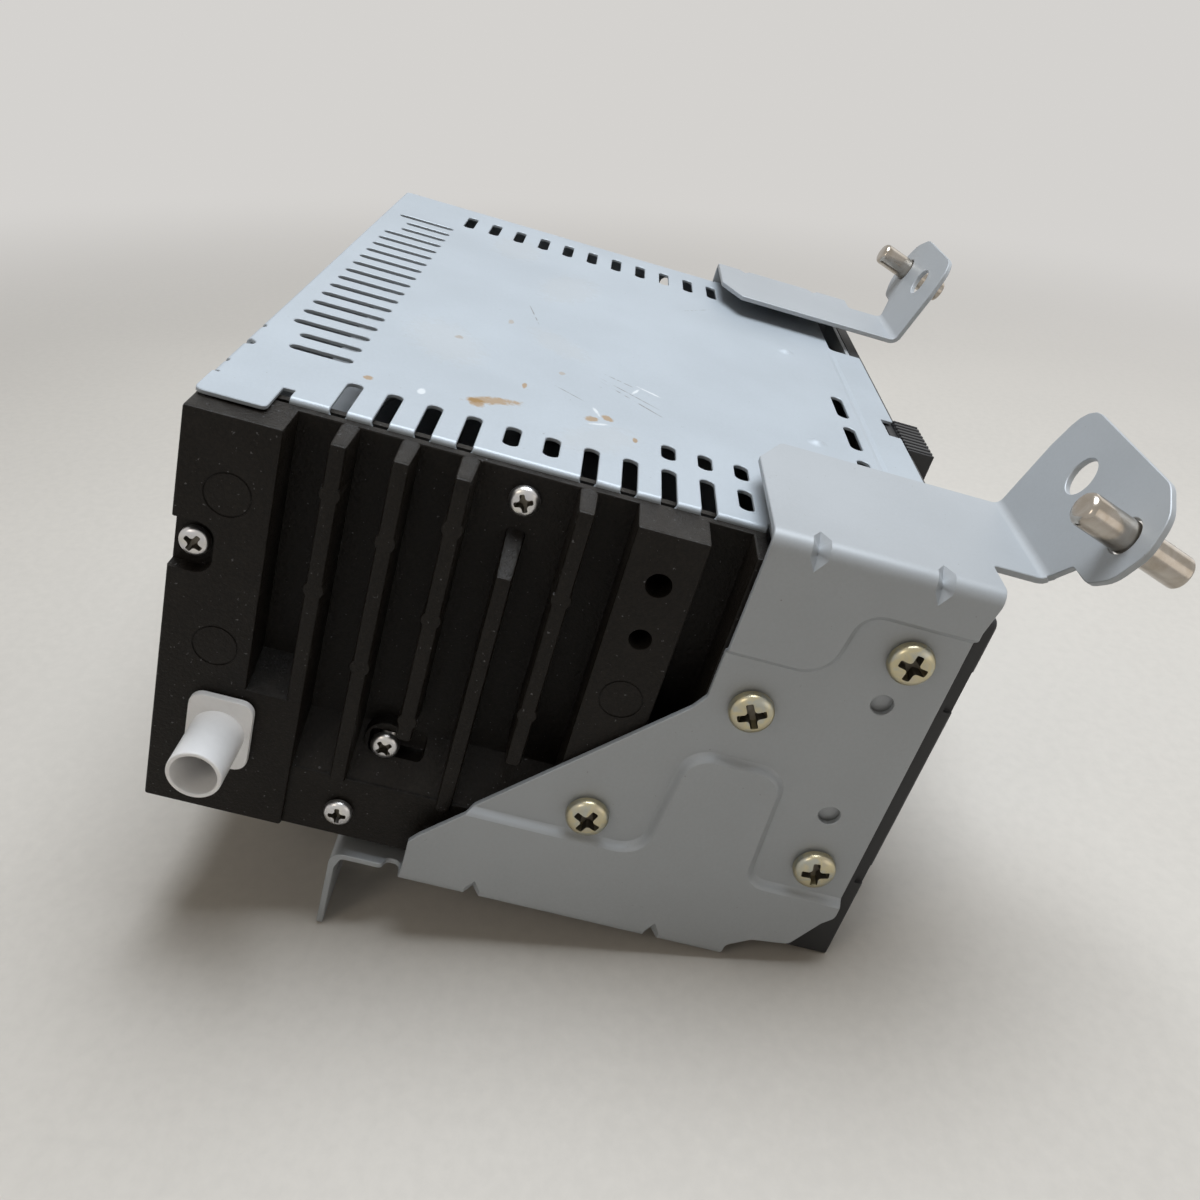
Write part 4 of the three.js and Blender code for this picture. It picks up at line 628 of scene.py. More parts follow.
def plateRise(a, w):
    spots = np.column_stack((a, w))
    level = np.zeros(len(spots))
    for zone in zones:
        here = 1 - smooth(distanceTo(spots, zone) / bracket["step"])
        here[within(spots, zone)] = 1
        level = np.maximum(level, here)
    return level


def gusset(a, middles, past):
    # how deep a pressed V stands in a bend, tapering to a point on the two faces beside it
    aside = np.min([np.abs(a - middle) for middle in middles], axis=0) / bracket["gussetWidth"]
    return bracket["gussetDepth"] * np.clip(1 - past / bracket["gussetReach"] - aside, 0, 1)


def foldBracket(side):
    def place(a, w, t):
        bend = bracket["bend"]
        out = bracket["skin"] + bracket["emboss"] * plateRise(a, w) - t
        y, z = atRear(a), w.copy()
        for way, fold, middles in ((1, topBend, bracket["topGussets"]), (-1, lowBend, bracket["lowGussets"])):
            past = way * (w - fold)
            turn = np.clip(past / bend, 0, math.pi / 2)
            out = np.where(past > 0, bendOut + (bend - t) * np.cos(turn) - np.maximum(past - bendArc, 0), out)
            z = np.where(past > 0, fold + way * (bend - t) * np.sin(turn), z)
            dent = gusset(a, middles, np.maximum(-past, past - bendArc).clip(0))
            out, z = out - dent * np.cos(turn), z - way * dent * np.sin(turn)
        ahead = a > bracket["neck"]
        out = np.where(ahead, bendOut - (w - topBend - bendArc), out)
        z = np.where(ahead, bracket["top"] - t, z)
        # the ear turns up at the end of its arm
        radius = bracket["earRadius"]
        turn = np.clip((a - bracket["earBend"]) / radius, 0, earTilt)
        rest = np.maximum(a - bracket["earBend"] - earLong, 0)
        risen = a > bracket["earBend"]
        arc = (radius + t) * np.sin(turn), (radius + t) * np.cos(turn)
        y = np.where(risen, atRear(bracket["earBend"]) - arc[0] - rest * math.cos(earTilt), y)
        z = np.where(risen, bracket["top"] + radius - arc[1] + rest * math.sin(earTilt), z)
        # and the leg turns down at the end of the low flange
        radius = bracket["legRadius"]
        turn = np.clip((bracket["legBend"] - a) / radius, 0, math.pi / 2)
        rest = np.maximum(bracket["legBend"] - radius * math.pi / 2 - a, 0)
        fallen = (a < bracket["legBend"]) & (w < lowBend)
        y = np.where(fallen, atRear(bracket["legBend"]) + (radius + t) * np.sin(turn), y)
        z = np.where(fallen, bracket["low"] - radius + (radius + t) * np.cos(turn) - rest, z)
        return side * (right + out), y, z
    return place


def bracketOutline(arm):
    inner = flangeZero + arm["reach"]
    ear = [(v + earZero, inner - u, radius) for v, u, radius in earInner]
    ear += [(v + earZero, flangeZero - u, radius) for v, u, radius in earOuter]
    path = plateRear + [(93, inner - 10, 1.5), (98, inner, 1.5)] + ear + plateFront
    return roundedPath(path, bracket["corner"], 4)


def depthAndHeight(share):
    return share[0] * body["depth"], body["height"] * (1 - share[1])


screwPlaces = [depthAndHeight(share) for share in bracket["screws"]]
for side, arm in arms.items():
    holes = [circle(a, w, bracket["screwHole"]) for a, w in screwPlaces]
    holes += [circle(a, w, bracket["plateHole"]) for a, w in bracket["holes"]]
    earMiddle = flangeZero + arm["reach"] - arm["hole"]
    holes += [circle(*bracket["legHole"], 28),
              circle(bracket["earHoleHeight"] + earZero, earMiddle, bracket["earHole"], 32),
              circle(pinSize["height"] + earZero, flangeZero + pinSize["inset"], bracket["pinHole"], 28)]
    lines = bendLines(topBend, bendArc, 92, 133, 1, 8) + bendLines(lowBend - bendArc, bendArc, 38, 114, 1, 8)
    lines += bendLines(bracket["earBend"], earLong, 90, 128, 0, 6)
    legArc = bracket["legRadius"] * math.pi / 2
    lines += bendLines(bracket["legBend"] - legArc, legArc, -29, -6.1, 0, 6)
    # crisp creases along the middle and the sides of each pressed V
    for middles, fold in ((bracket["topGussets"], topBend), (bracket["lowGussets"], lowBend - bendArc)):
        for middle in middles:
            reach = bracket["gussetReach"]
            tips = [(middle, fold - reach), (middle, fold + bendArc + reach)]
            lines.append(tips)
            for x in (middle - bracket["gussetWidth"], middle + bracket["gussetWidth"]):
                corners = [tips[0], (x, fold), (x, fold + bendArc), tips[1]]
                lines += [list(pair) for pair in zip(corners, corners[1:])]
    loops = [offsetPath(zone, reach) for zone in zones for reach in stepLoops]
    # fine points on the plate and its bends, coarse ones on the ear and the flange
    grids = [((36, -2), (133, 83), 1.7), ((93, topBend - 6), (131, topBend + 10), 0.7),
             ((38, lowBend - 10), (114, lowBend + 6), 0.8), ((93, 90), (166, 130), 4),
             ((38, -28), (114, -6), 4)]
    mesh = foldedSheet(bracketOutline(arm), holes, bracket["thick"], foldBracket(side), grids, lines, loops)
    name = arm["name"] + "_bracket"
    addPiece(name + "_sheet", mesh, ["sheet"], [name], smooth=28)
print("brackets folded")


# Top cover: x and a are laid out flat, with skirts folded down at the left, right and rear
cover = {
    "thick": 0.8, "bend": 0.9, "sideReach": 0.3, "corner": 0.5, "flapStart": 13.3, "flapEnd": 95.2,
    "skirtEnd": 92.7,
    "leftDrop": 3.2, "sideDrop": 7, "rearDrop": 8, "rearStart": -75.1, "screwDrop": 4.2, "screwHole": 1.8,
    "bumps": [(34.3, -43.4), (-28.7, -43.8)], "bumpRadius": 2.7, "bumpHeight": 0.8,
    "joggle": 123.9, "joggleDepth": 0.35, "joggleWidth": 1.1, "joggleEnd": 45,
    "sideScrews": [0.12, 0.6], "rearScrews": [-0.3, 0.05, 0.4],
    "rearNicks": [(-49.3, 1.1, 1.0), (-58.9, 1.4, 1.9), (-69.7, 0.9, 0.9)],
}
vents = {
    "rearCount": 18, "rearPitch": 6.83, "rearFirst": 33.6, "rearWidth": 2.7, "rearNear": 4, "rearFar": 18.5,
    "shortNear": 7, "short": (0, 1, 15, 16),
    "sideCount": 11, "sidePitch": 7.02, "sideFirst": 21.44, "sideWidth": 2.8, "sideReach": 24.1, "bendCut": 2,
    "bridged": (4, 5, 10), "bridgeStart": 15.4, "farNear": 8, "farFar": 21,
    "innerFrom": 8, "innerNear": 28.6, "innerFar": 35.6,
    "frontDepth": 119.5, "frontWidth": 2.8, "frontShares": [(0.287, 0.321), (0.354, 0.43), (0.464, 0.543)],
}
coverArc = cover["bend"] * math.pi / 2
coverLeft = atLeft(10.6)
flapFold = coverLeft + cover["bend"]
skirtFold = right + cover["sideReach"] + cover["thick"] - cover["bend"]
flapTip = flapFold - coverArc - (cover["leftDrop"] - cover["bend"])
skirtTip = skirtFold + coverArc + cover["sideDrop"] - cover["bend"]
rearTip = cover["bend"] - coverArc - (cover["rearDrop"] - cover["bend"])


def foldCover(x, a, t):
    bend, top = cover["bend"], body["height"]
    y, z = atRear(a), np.full(len(x), top - t)
    for bx, by in cover["bumps"]:
        z = z + cover["bumpHeight"] * (1 - smooth(np.hypot(x - bx, y - by) / cover["bumpRadius"]))
    step = np.abs(a - cover["joggle"]) / cover["joggleWidth"]
    z = z - cover["joggleDepth"] * np.where(x < cover["joggleEnd"], 1 - smooth(step), 0)
    folded = {}
    for name, past in (("left", flapFold - x), ("right", x - skirtFold), ("rear", bend - a)):
        turn = np.clip(past / bend, 0, math.pi / 2)
        rest = np.maximum(past - coverArc, 0)
        folded[name] = ((bend - t) * np.sin(turn), top - bend + (bend - t) * np.cos(turn) - rest)
    onFlap = (x < flapFold) & (a > cover["flapStart"]) & (a < cover["flapEnd"])
    onSide = (x > skirtFold) & (a < cover["skirtEnd"] + 0.2) & (a > bend - 0.01)
    onRear = (a < bend) & (x > cover["rearStart"] - 0.01) & (x < skirtFold + 0.01)
    newX = np.where(onFlap, flapFold - folded["left"][0], np.where(onSide, skirtFold + folded["right"][0], x))
    newY = np.where(onRear, atRear(bend) + folded["rear"][0], y)
    for mask, name in ((onFlap, "left"), (onSide, "right"), (onRear, "rear")):
        z = np.where(mask, folded[name][1], z)
    return newX, newY, z


depthEnd, skirtEnd, rearStart = body["depth"], cover["skirtEnd"], cover["rearStart"]
skirtSide = skirtFold + cover["bend"]
coverPath = [
    (atLeft(4.6), 0, 1.5), (atLeft(4.6), 11.5, 1), (atLeft(14.2), 11.5, 0.3), (atLeft(14.2), 13.5, 0.3),
    (flapTip, 13.5, 1), (flapTip, 94.9, 1), (atLeft(12), 94.9, 0), (atLeft(12), 95.4, 0), (left, 95.4, 0.6),
    (left, depthEnd, 1), (atLeft(79.1), depthEnd), (atLeft(79.1), depthEnd - 3), (atLeft(89.6), depthEnd - 3),
    (atLeft(89.6), depthEnd), (right - 39.5, depthEnd), (right - 39.5, depthEnd - 8.5, 1.5),
    (skirtSide, depthEnd - 8.5, 1), (skirtSide, skirtEnd + 0.6, 0.3), (skirtFold - 0.2, skirtEnd + 0.6, 0),
    (skirtFold - 0.2, skirtEnd, 0), (skirtTip, skirtEnd, 1.5), (skirtTip, cover["bend"] + 0.3, 1.5),
    (skirtFold, cover["bend"] + 0.3, 0), (skirtFold, rearTip, 1.5), (rearStart, rearTip, 1.5),
    (rearStart, cover["bend"] + 0.2, 0.2), (rearStart - 0.6, cover["bend"] + 0.2, 0.2),
    (rearStart - 0.6, 0, 0.3),
]
holes = [slotPath((x - half, -1.6), (x + half, deep)) for x, half, deep in cover["rearNicks"]]


def vent(start, end, middle, width):
    # a slot across the cover
    return slotPath((start, middle - width / 2), (end, middle + width / 2))


for index in range(vents["rearCount"]):
    middle = atLeft(vents["rearFirst"] + index * vents["rearPitch"])
    near = vents["shortNear"] if index in vents["short"] else vents["rearNear"]
    half = vents["rearWidth"] / 2
    holes.append(slotPath((middle - half, near), (middle + half, vents["rearFar"])))
combStart = flapFold - coverArc - (vents["bendCut"] - cover["bend"])
for index in range(vents["sideCount"]):
    middle = vents["sideFirst"] + index * vents["sidePitch"]
    start = atLeft(vents["bridgeStart"]) if index in vents["bridged"] else combStart
    rows = [(start, atLeft(vents["sideReach"])), (right - vents["farFar"], right - vents["farNear"])]
    if index >= vents["innerFrom"]:
        rows.append((atLeft(vents["innerNear"]), atLeft(vents["innerFar"])))
    holes += [vent(*row, middle, vents["sideWidth"]) for row in rows]
for shares in vents["frontShares"]:
    ends = [atLeft(share * body["width"]) for share in shares]
    holes.append(vent(*ends, vents["frontDepth"], vents["frontWidth"]))
screwPast = coverArc + cover["screwDrop"] - cover["bend"]
screwSpots = [(skirtFold + screwPast, share * body["depth"]) for share in cover["sideScrews"]]
screwSpots += [(share * body["width"], cover["bend"] - screwPast) for share in cover["rearScrews"]]
holes += [circle(*spot, cover["screwHole"], 20) for spot in screwSpots]
lines = bendLines(flapFold - coverArc, coverArc, 13, 95, 1, 6) + bendLines(skirtFold, coverArc, 1, 93, 1, 6)
lines = [[(b, a) for a, b in line] for line in lines]
lines += [[(b, a) for a, b in line] for line in bendLines(cover["bend"] - coverArc, coverArc, -76, 90, 0, 6)]
lines += [[(left - 0.5, cover["joggle"] + shift), (cover["joggleEnd"], cover["joggle"] + shift)]
          for shift in (-1.1, -0.8, -0.4, 0, 0.4, 0.8, 1.1)]
loops = [circle(x, rear - y, cover["bumpRadius"] * share, 20)
         for x, y in cover["bumps"] for share in (1, 0.8, 0.6, 0.4, 0.2)]
grids = [((-88, -8), (97, 132), 9)]
coverOutline = roundedPath(coverPath, cover["corner"], 3)
mesh = foldedSheet(coverOutline, holes, cover["thick"], foldCover, grids, lines, loops, 6)
addPiece("top_cover_sheet", mesh, ["cover"], ["top_cover"], smooth=40)
print("cover folded")


# Heat sink: depths behind the rear face and heights, one casting with rounded edges
sink = {
    "length": 95, "finDepth": 10.6, "wall": 3, "panel": 15.7, "foot": 28.8, "low": 0, "high": 78.9,
    "edge": 0.55, "finStart": 22.8, "pitch": 10, "finWidth": 2.8, "bulge": 1.8,
    "fins": [(0.015, 0.98, [0.125, 0.35]), (0.015, 0.838, [0.2, 0.51]), (0.015, 0.675, [0.131, 0.35, 0.62]),
             (0.131, 0.85, []), (0.015, 0.669, [0.225, 0.525])],
    "bossPanel": 72.6, "bossWidth": 12.4, "endWall": 2.5, "ledge": 13.8, "ledgeRecess": 1, "ramp": 11.5,
    "shelf": 5, "floorRise": 1.6, "notchDepth": 7.3, "notchHeight": 9.5, "notchReach": 3, "notchDrop": 25.36,
    "stem": 3.7,
    "marks": [(8.5, 65.5, 4), (9.5, 36.5, 4), (79, 46.3, 3.9)], "markDepth": 0.18,
    "rampedTop": 0.1, "finRamp": 6,
    "holes": [(78.8, 69.5, 2.25), (78.8, 58.8, 2)], "pocket": [(37.8, 18), (48.3, 23)],
    "lowBoss": 4.2, "lowRise": 4.6, "draft": 0.35, "coverCut": (1.1, 76.5),
}
floorX, innerX = atLeft(sink["finDepth"]), atLeft(sink["finDepth"] + sink["wall"])
smallScrew = {"head": 2.7, "height": 1.9, "shank": 1.5, "length": 5, "recess": 1.5, "reach": 1.85, "bit": 0.5}
largeScrew = {"head": 4, "height": 2.4, "shank": 1.9, "length": 5, "recess": 2.1, "reach": 2.8, "bit": 0.72}
topScrew, notchScrew = (54.2, 74.2), (3.65, 54.64)
ledgeScrew, lowScrew = depthAndHeight((0.269, 0.919)), depthAndHeight((0.3094, 0.745))
antennaPlace = depthAndHeight((0.093, 0.756))
# depth, height, and x where the head sits
sinkScrews = [(*topScrew, floorX - sink["floorRise"]), (*notchScrew, atLeft(sink["notchReach"])),
              (*ledgeScrew, atLeft(sink["ledgeRecess"])), (*lowScrew, floorX - sink["lowRise"])]


def sinkBlock(outer, inner, fromDepth, toDepth, low=sink["low"], high=sink["high"], edge=sink["edge"]):
    return roundBlock((outer, inner), (atRear(toDepth), atRear(fromDepth)), (low, high), edge)


def sinkBore(depth, height, radius, outer=left - overrun, inner=innerX + overrun):
    return rod("x", atRear(depth), height, radius, outer, inner)


def finTaper(mesh, middle, draft):
    # a fin is a little thicker at its root than at its edge
    for vert in mesh.verts:
        share = (vert.co.x - left) / (floorX - left)
        vert.co.y += math.copysign(draft * share, vert.co.y - middle) if abs(vert.co.y - middle) > 0.3 else 0
    return mesh


footEnd = sink["finStart"] + sink["finWidth"]
footTop, ledgeTop = sink["low"] + sink["foot"], sink["low"] + sink["ledge"]
ledgeX = atLeft(sink["ledgeRecess"])
deep = floorX + 1
joins = [
    sinkBlock(left, deep, 0, sink["panel"]),
    sinkBlock(left, deep, 0, footEnd, high=footTop),
    sinkBlock(left, deep, sink["bossPanel"], sink["bossPanel"] + sink["bossWidth"]),
    sinkBlock(left, deep, sink["length"] - sink["endWall"], sink["length"]),
    sinkBlock(ledgeX, deep, footEnd - 1, sink["length"], high=ledgeTop),
    prism([(ledgeX + 0.3, ledgeTop - 0.5), (deep, ledgeTop - 0.5), (deep, ledgeTop + sink["ramp"])],
          atRear(sink["length"]) + 0.1, atRear(footEnd), "y"),
    prism([(left + 0.4, footTop - 0.5), (deep, footTop - 0.5), (deep, footTop + sink["shelf"])],
          atRear(footEnd) + 0.1, atRear(sink["panel"]), "y"),
    rod("x", atRear(lowScrew[0]), lowScrew[1], sink["lowBoss"], floorX - sink["lowRise"], deep, edge=0.3),
]
for index, (top, bottom, bulges) in enumerate(sink["fins"]):
    start = sink["finStart"] + index * sink["pitch"]
    middle = start + sink["finWidth"] / 2
    low, high = body["height"] * (1 - bottom), body["height"] * (1 - top)
    fin = sinkBlock(left, deep, start, start + sink["finWidth"], low, high, 0.75)
    if top > sink["rampedTop"]:
        # the fin under the top screw starts with a ramp
        for vert in fin.verts:
            if vert.co.z > high - 2 and vert.co.x < left + 2:
                vert.co.z -= sink["finRamp"]
    joins.append(finTaper(fin, atRear(middle), sink["draft"]))
    joins += [rod("x", atRear(middle), body["height"] * (1 - share), sink["bulge"], left, deep, edge=0.5)
              for share in bulges]
notchMiddle, notchEnd = body["height"] - sink["notchDrop"], atRear(sink["notchDepth"])
low, high = notchMiddle - sink["notchHeight"] / 2, notchMiddle + sink["notchHeight"] / 2
notch = [(rear + overrun, low), (rear + overrun, high), (notchEnd, high, 3), (notchEnd, low, 3)]
notch = roundedPath(notch, 0, 6)
cuts = [prism(notch, left - overrun, atLeft(sink["notchReach"]), "x"), sinkBore(*antennaPlace, sink["stem"])]
for depth, height, x in sinkScrews:
    cuts.append(sinkBore(depth, height, smallScrew["head"] + seat, inner=x))
    cuts.append(sinkBore(depth, height, smallScrew["shank"] + seat, x - overrun))
cuts += [sinkBore(depth, height, largeScrew["shank"] + seat)
         for depth, height in screwPlaces if depth < sink["length"]]
cuts += [sinkBore(*hole, inner=floorX - 0.5) for hole in sink["holes"]]
for depth, height, radius in sink["marks"]:
    inside, sunk = radius - 0.3, sink["markDepth"]
    ring = turned([(radius, -1), (radius, sunk), (inside, sunk), (inside, -1)], 40)
    cuts.append(placed(ring, (left, atRear(depth), height), axes["x"]))
(pocketStart, pocketLow), (pocketEnd, pocketHigh) = sink["pocket"]
cuts.append(sinkBlock(left - overrun, floorX - 1.5, pocketStart, pocketEnd, pocketLow, pocketHigh, 1))
# room for the cover's flap behind the fins
cutDepth, cutLow = sink["coverCut"]
cuts.append(roundBlock((floorX - 0.01, floorX + cutDepth), (atRear(sink["length"]) - overrun, rear + overrun),
                       (cutLow, body["height"] + overrun)))
base = sinkBlock(floorX - sink["floorRise"], innerX, 0, sink["length"], edge=0.35)
casting = carve(base, joins, cuts)
addPiece("heat_sink_casting", casting, ["casting"], ["heat_sink"], smooth=35)
print("heat sink cast")


# Screws: a domed pan head with a cross recess, and a ringed shank
headRim, threadPitch, threadDepth = 0.25, 0.5, 0.25


def screwMesh(size):
    profile = [(0, -size["length"]), (size["shank"] * 0.6, -size["length"])]
    rings = int((size["length"] - 0.8) / threadPitch)
    for index in range(rings):
        at = -size["length"] + 0.4 + index * threadPitch
        profile += [(size["shank"] - threadDepth, at), (size["shank"], at + threadPitch / 2)]
    profile += [(size["shank"] - 0.1, -0.3), (size["shank"] - 0.1, 0)]
    profile += [(size["head"] - headRim, 0), (size["head"], headRim)]
    steps = 9
    for step in range(1, steps):
        turn = math.pi / 2 * step / steps
        rise = (size["height"] - headRim) * math.sin(turn) ** 0.62
        profile.append((size["head"] * math.cos(turn) ** 0.6, headRim + rise))
    profile.append((0, size["height"]))
    wide, narrow = size["reach"], size["bit"]
    cross = []
    for quarter in range(4):
        cos, sin = (1, 0, -1, 0)[quarter], (0, 1, 0, -1)[quarter]
        for a, b, rounding in ((wide, -narrow, 0.3), (wide, narrow, 0.3), (narrow, narrow, 0.6)):
            cross.append((a * cos - b * sin, a * sin + b * cos, rounding))
    floorOfBit = size["height"] - size["recess"]
    bit = prism(roundedPath(cross, 0, 3), floorOfBit, size["height"] + 0.6)
    for vert in bit.verts:
        if vert.co.z < size["height"]:
            vert.co.xy *= 0.7
    screw = carve(turned(profile, 36), [], [bit])
    # faces inside the cross recess take the second finish, a dark plating that is painted shade
    for face in screw.faces:
        middle = face.calc_center_median()
        inside = middle.xy.length < size["reach"] * 0.8 and 0 < middle.z < size["height"] - 0.2
        face.material_index = int(inside and (face.normal.z < 0.3 or middle.z < floorOfBit + 0.1))
    return screw


def screwTurned(side, index):
    # each screw stops at its own angle
    stop = Matrix.Rotation(math.radians(23 + 37 * index), 4, "Z")
    return Matrix.Rotation(side * math.pi / 2, 4, "Y") @ stop


for index, (depth, height, x) in enumerate(sinkScrews):
    screw = placed(screwMesh(smallScrew), (x - seat, atRear(depth), height), screwTurned(-1, index))
    addPiece(f"sink_screw_{index + 1}", screw, ["bright", "recess"],
             [f"heat_sink_screw_{index + 1}"])
for side, arm in arms.items():
    for index, (depth, height) in enumerate(screwPlaces):
        x = side * (right + seat + bracket["thick"] + seat)
        screw = placed(screwMesh(largeScrew), (x, atRear(depth), height), screwTurned(side, index + 4))
        addPiece(f"{arm['name']}_pan_screw_{index + 1}", screw, ["gold", "recess"],
                 [f"{arm['name']}_bracket_screw_{index + 1}"])

# Locating pins, pressed through the ears
for side, arm in arms.items():
    profile = [(0, -pinSize["ahead"]), (pinSize["radius"], -pinSize["ahead"], 0.5),
               (pinSize["radius"], pinSize["back"], pinSize["tip"]), (0, pinSize["back"])]
    ear = Matrix.Translation((side * right, atRear(body["depth"] + pinSize["earDepth"]), bracket["top"]))
    ear = ear @ Matrix.Rotation(math.radians(bracket["tilt"]), 4, "X")
    onEar = Matrix.Translation((-side * pinSize["inset"], 0, pinSize["height"]))
    upEar = ear @ onEar @ Matrix.Rotation(-math.pi / 2, 4, "X")
    pin = placed(turned(softProfile(profile, 0.5, 4), 48), (0, 0, 0), upEar)
    addPiece(arm["name"] + "_pin", pin, ["nickel"], [arm["name"] + "_locating_pin"])

# Antenna socket and its contact
antenna = {"base": 11.5, "height": 15, "thick": 1.5, "corner": 2.5, "outer": 4.8, "inner": 4, "length": 14,
           "stem": 3.4, "stemLength": 17, "pin": 0.9, "pinTip": 9, "pinTail": 22}
aerialY, aerialZ = atRear(antennaPlace[0]), antennaPlace[1]
baseBack, baseFront, mouth = left - seat, left - seat - antenna["thick"], left - antenna["length"]
halfBase, halfHeight = antenna["base"] / 2, antenna["height"] / 2
plate = rectangle((aerialY - halfBase, aerialZ - halfHeight), (aerialY + halfBase, aerialZ + halfHeight),
                  antenna["corner"], 6)
face, back = baseFront - mouth, baseBack - mouth  # lengths from the tube's mouth
stemEnd, bore = left + antenna["stemLength"] - mouth, antenna["pin"] + seat
profile = [(antenna["inner"], face), (antenna["inner"], 0, 0.2), (antenna["outer"], 0, 0.35),
           (antenna["outer"], back), (antenna["stem"], back, 0.05), (antenna["stem"], stemEnd),
           (bore, stemEnd, 0.05), (bore, face)]
tube = placed(turned(softProfile(profile, 0), 48), (mouth, aerialY, aerialZ), axes["x"])
cutter = rod("x", aerialY, aerialZ, antenna["outer"] - 0.2, baseFront - 1, baseBack + 1, 48)
base = carve(prism(plate, baseFront, baseBack, "x", 0.3), [], [cutter])
addPiece("antenna_socket_body", carve(base, [tube]), ["white"], ["antenna_socket"])
profile = [(0, -antenna["pinTip"]), (antenna["pin"], -antenna["pinTip"], 0.6),
           (antenna["pin"], antenna["pinTail"], 0.2), (0, antenna["pinTail"])]
contact = placed(turned(softProfile(profile, 0), 24), (left, aerialY, aerialZ), axes["x"])
addPiece("antenna_pin", contact, ["nickel"], ["antenna_contact"])
print("screws, pins and antenna made")


# Front: fascia, lens, keys, knobs and the ribbed connector
def nodeBox(name):
    low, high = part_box(name)
    return [(low[index] / toMetres, high[index] / toMetres) for index in range(3)]


def around(middle, size):
    return middle - size / 2, middle + size / 2


def centre(span):
    return (span[0] + span[1]) / 2


def dyed(mesh, index):
    for face in mesh.faces:
        face.material_index = index
    return mesh


fascia = {
    "proud": 1.8, "thick": 3.3, "top": 78.9, "corner": 1.6, "edge": 0.6, "lip": 0.8, "gap": 0.3,
    "blockWidth": 6, "blockDepth": 9.3, "blockTop": 18, "recesses": [(0.14, 0.25), (0.7, 0.76)],
    "slotWidth": 124, "slotHeight": 5.2, "slotMiddle": 64, "bossRadius": 2.8, "bossX": 73,
    "bossHeights": [12, 50.5], "bossEnd": -59.85, "shaft": 3.3, "knobWell": 13.2, "wellDepth": 0.35,
    "connectorLow": 68.6, "keyLip": 1, "keySideLip": 0.4, "keyCorner": 1, "keyHoleCorner": 1.2,
    "lensHoleCorner": 1.3, "flare": 1,
}
keyNames = [f"preset_button_{index}" for index in range(1, 7)]
keyNames += [f"{word}_button" for word in ("seek_down", "band", "menu", "seek_up", "power", "eject")]
fasciaFront = front - fascia["proud"]
fasciaBack = fasciaFront + fascia["thick"]


def opening(path):
    return prism(path, fasciaFront - overrun, fasciaBack + overrun, "y")


def grown(name, growX, growZ, radius):
    # the outline of a hole round a piece of the frame
    spanX, _, spanZ = nodeBox(name)
    return rectangle((spanX[0] - growX, spanZ[0] - growZ), (spanX[1] + growX, spanZ[1] + growZ), radius)


joins = [roundBlock((left, left + fascia["blockWidth"]), (fasciaFront, front + fascia["blockDepth"]),
                    (0, fascia["blockTop"]), 0.5)]
joins += [rod("y", side * fascia["bossX"], height, fascia["bossRadius"], fasciaBack - 0.8,
              fascia["bossEnd"], 24, 0.2)
          for side in (-1, 1) for height in fascia["bossHeights"]]
slotLow = (-fascia["slotWidth"] / 2, fascia["slotMiddle"] - fascia["slotHeight"] / 2)
slotHigh = (fascia["slotWidth"] / 2, fascia["slotMiddle"] + fascia["slotHeight"] / 2)
flare = fascia["flare"]
mouth = prism(offsetPath(slotPath(slotLow, slotHigh), flare), fasciaFront, fasciaFront + flare, "y")
for vert in mouth.verts:
    # the slot's mouth flares out to the front
    if vert.co.y > fasciaFront + flare / 2:
        vert.co.x -= math.copysign(flare, vert.co.x)
        vert.co.z -= math.copysign(flare, vert.co.z - fascia["slotMiddle"])
cuts = [opening(slotPath(slotLow, slotHigh)), mouth,
        opening(grown("display_lens", fascia["gap"], fascia["gap"], fascia["lensHoleCorner"]))]
keyGrow, keyRise = fascia["gap"] - fascia["keySideLip"], fascia["gap"] - fascia["keyLip"]
cuts += [opening(grown(name, keyGrow, keyRise, fascia["keyHoleCorner"])) for name in keyNames]
knobBoxes = {name: nodeBox(name) for name in ("volume_knob", "tuning_knob")}
for spanX, _, spanZ in knobBoxes.values():
    middle = centre(spanX), centre(spanZ)
    cuts.append(opening(circle(*middle, fascia["shaft"], 28)))
    well = fasciaFront + fascia["wellDepth"]
    cuts.append(rod("y", *middle, fascia["knobWell"], fasciaFront - overrun, well, 48))
connectorBox = nodeBox("front_connector")
cuts.append(roundBlock((connectorBox[0][0] - seat, connectorBox[0][1] + seat),
                       (fasciaFront - overrun, fasciaBack + overrun),
                       (fascia["connectorLow"], body["height"] + 2)))
for high, low in fascia["recesses"]:
    cuts.append(roundBlock((left - overrun, left + fascia["lip"]), (fasciaFront - overrun, front),
                           (body["height"] * (1 - low), body["height"] * (1 - high)), 0.2))
plate = rectangle((left, 0), (right, fascia["top"]), fascia["corner"], 5)
plate = prism(plate, fasciaFront, fasciaBack, "y", fascia["edge"], 3, "low")
addPiece("fascia_plate", carve(plate, joins, cuts), ["black"], ["front_fascia"], smooth=35)

spanX, spanY, spanZ = nodeBox("display_lens")
window = prism(rectangle((spanX[0], spanZ[0]), (spanX[1], spanZ[1]), 1, 5), *spanY, "y", 0.35, 3, "low")
addPiece("display_window", window, ["lens"], ["display_lens"])


toFront = Matrix.Rotation(math.pi / 2, 4, "X")


def flatShape(path, face):
    # a printed mark standing a hair proud of a key's face
    return dyed(prism(path, face - 0.05, face + 0.05, "y"), 1)


def digitMark(text, size, x, z, face):
    curve = bpy.data.curves.new("digit", "FONT")
    curve.body, curve.size, curve.extrude = text, size, 0.05
    curve.align_x, curve.align_y = "CENTER", "CENTER"
    holder = linked("digit", curve)
    mesh = bmesh.new()
    mesh.from_mesh(holder.evaluated_get(bpy.context.evaluated_depsgraph_get()).to_mesh())
    bpy.data.objects.remove(holder)
    bpy.data.curves.remove(curve)
    return dyed(placed(mesh, (x, face, z), toFront), 1)


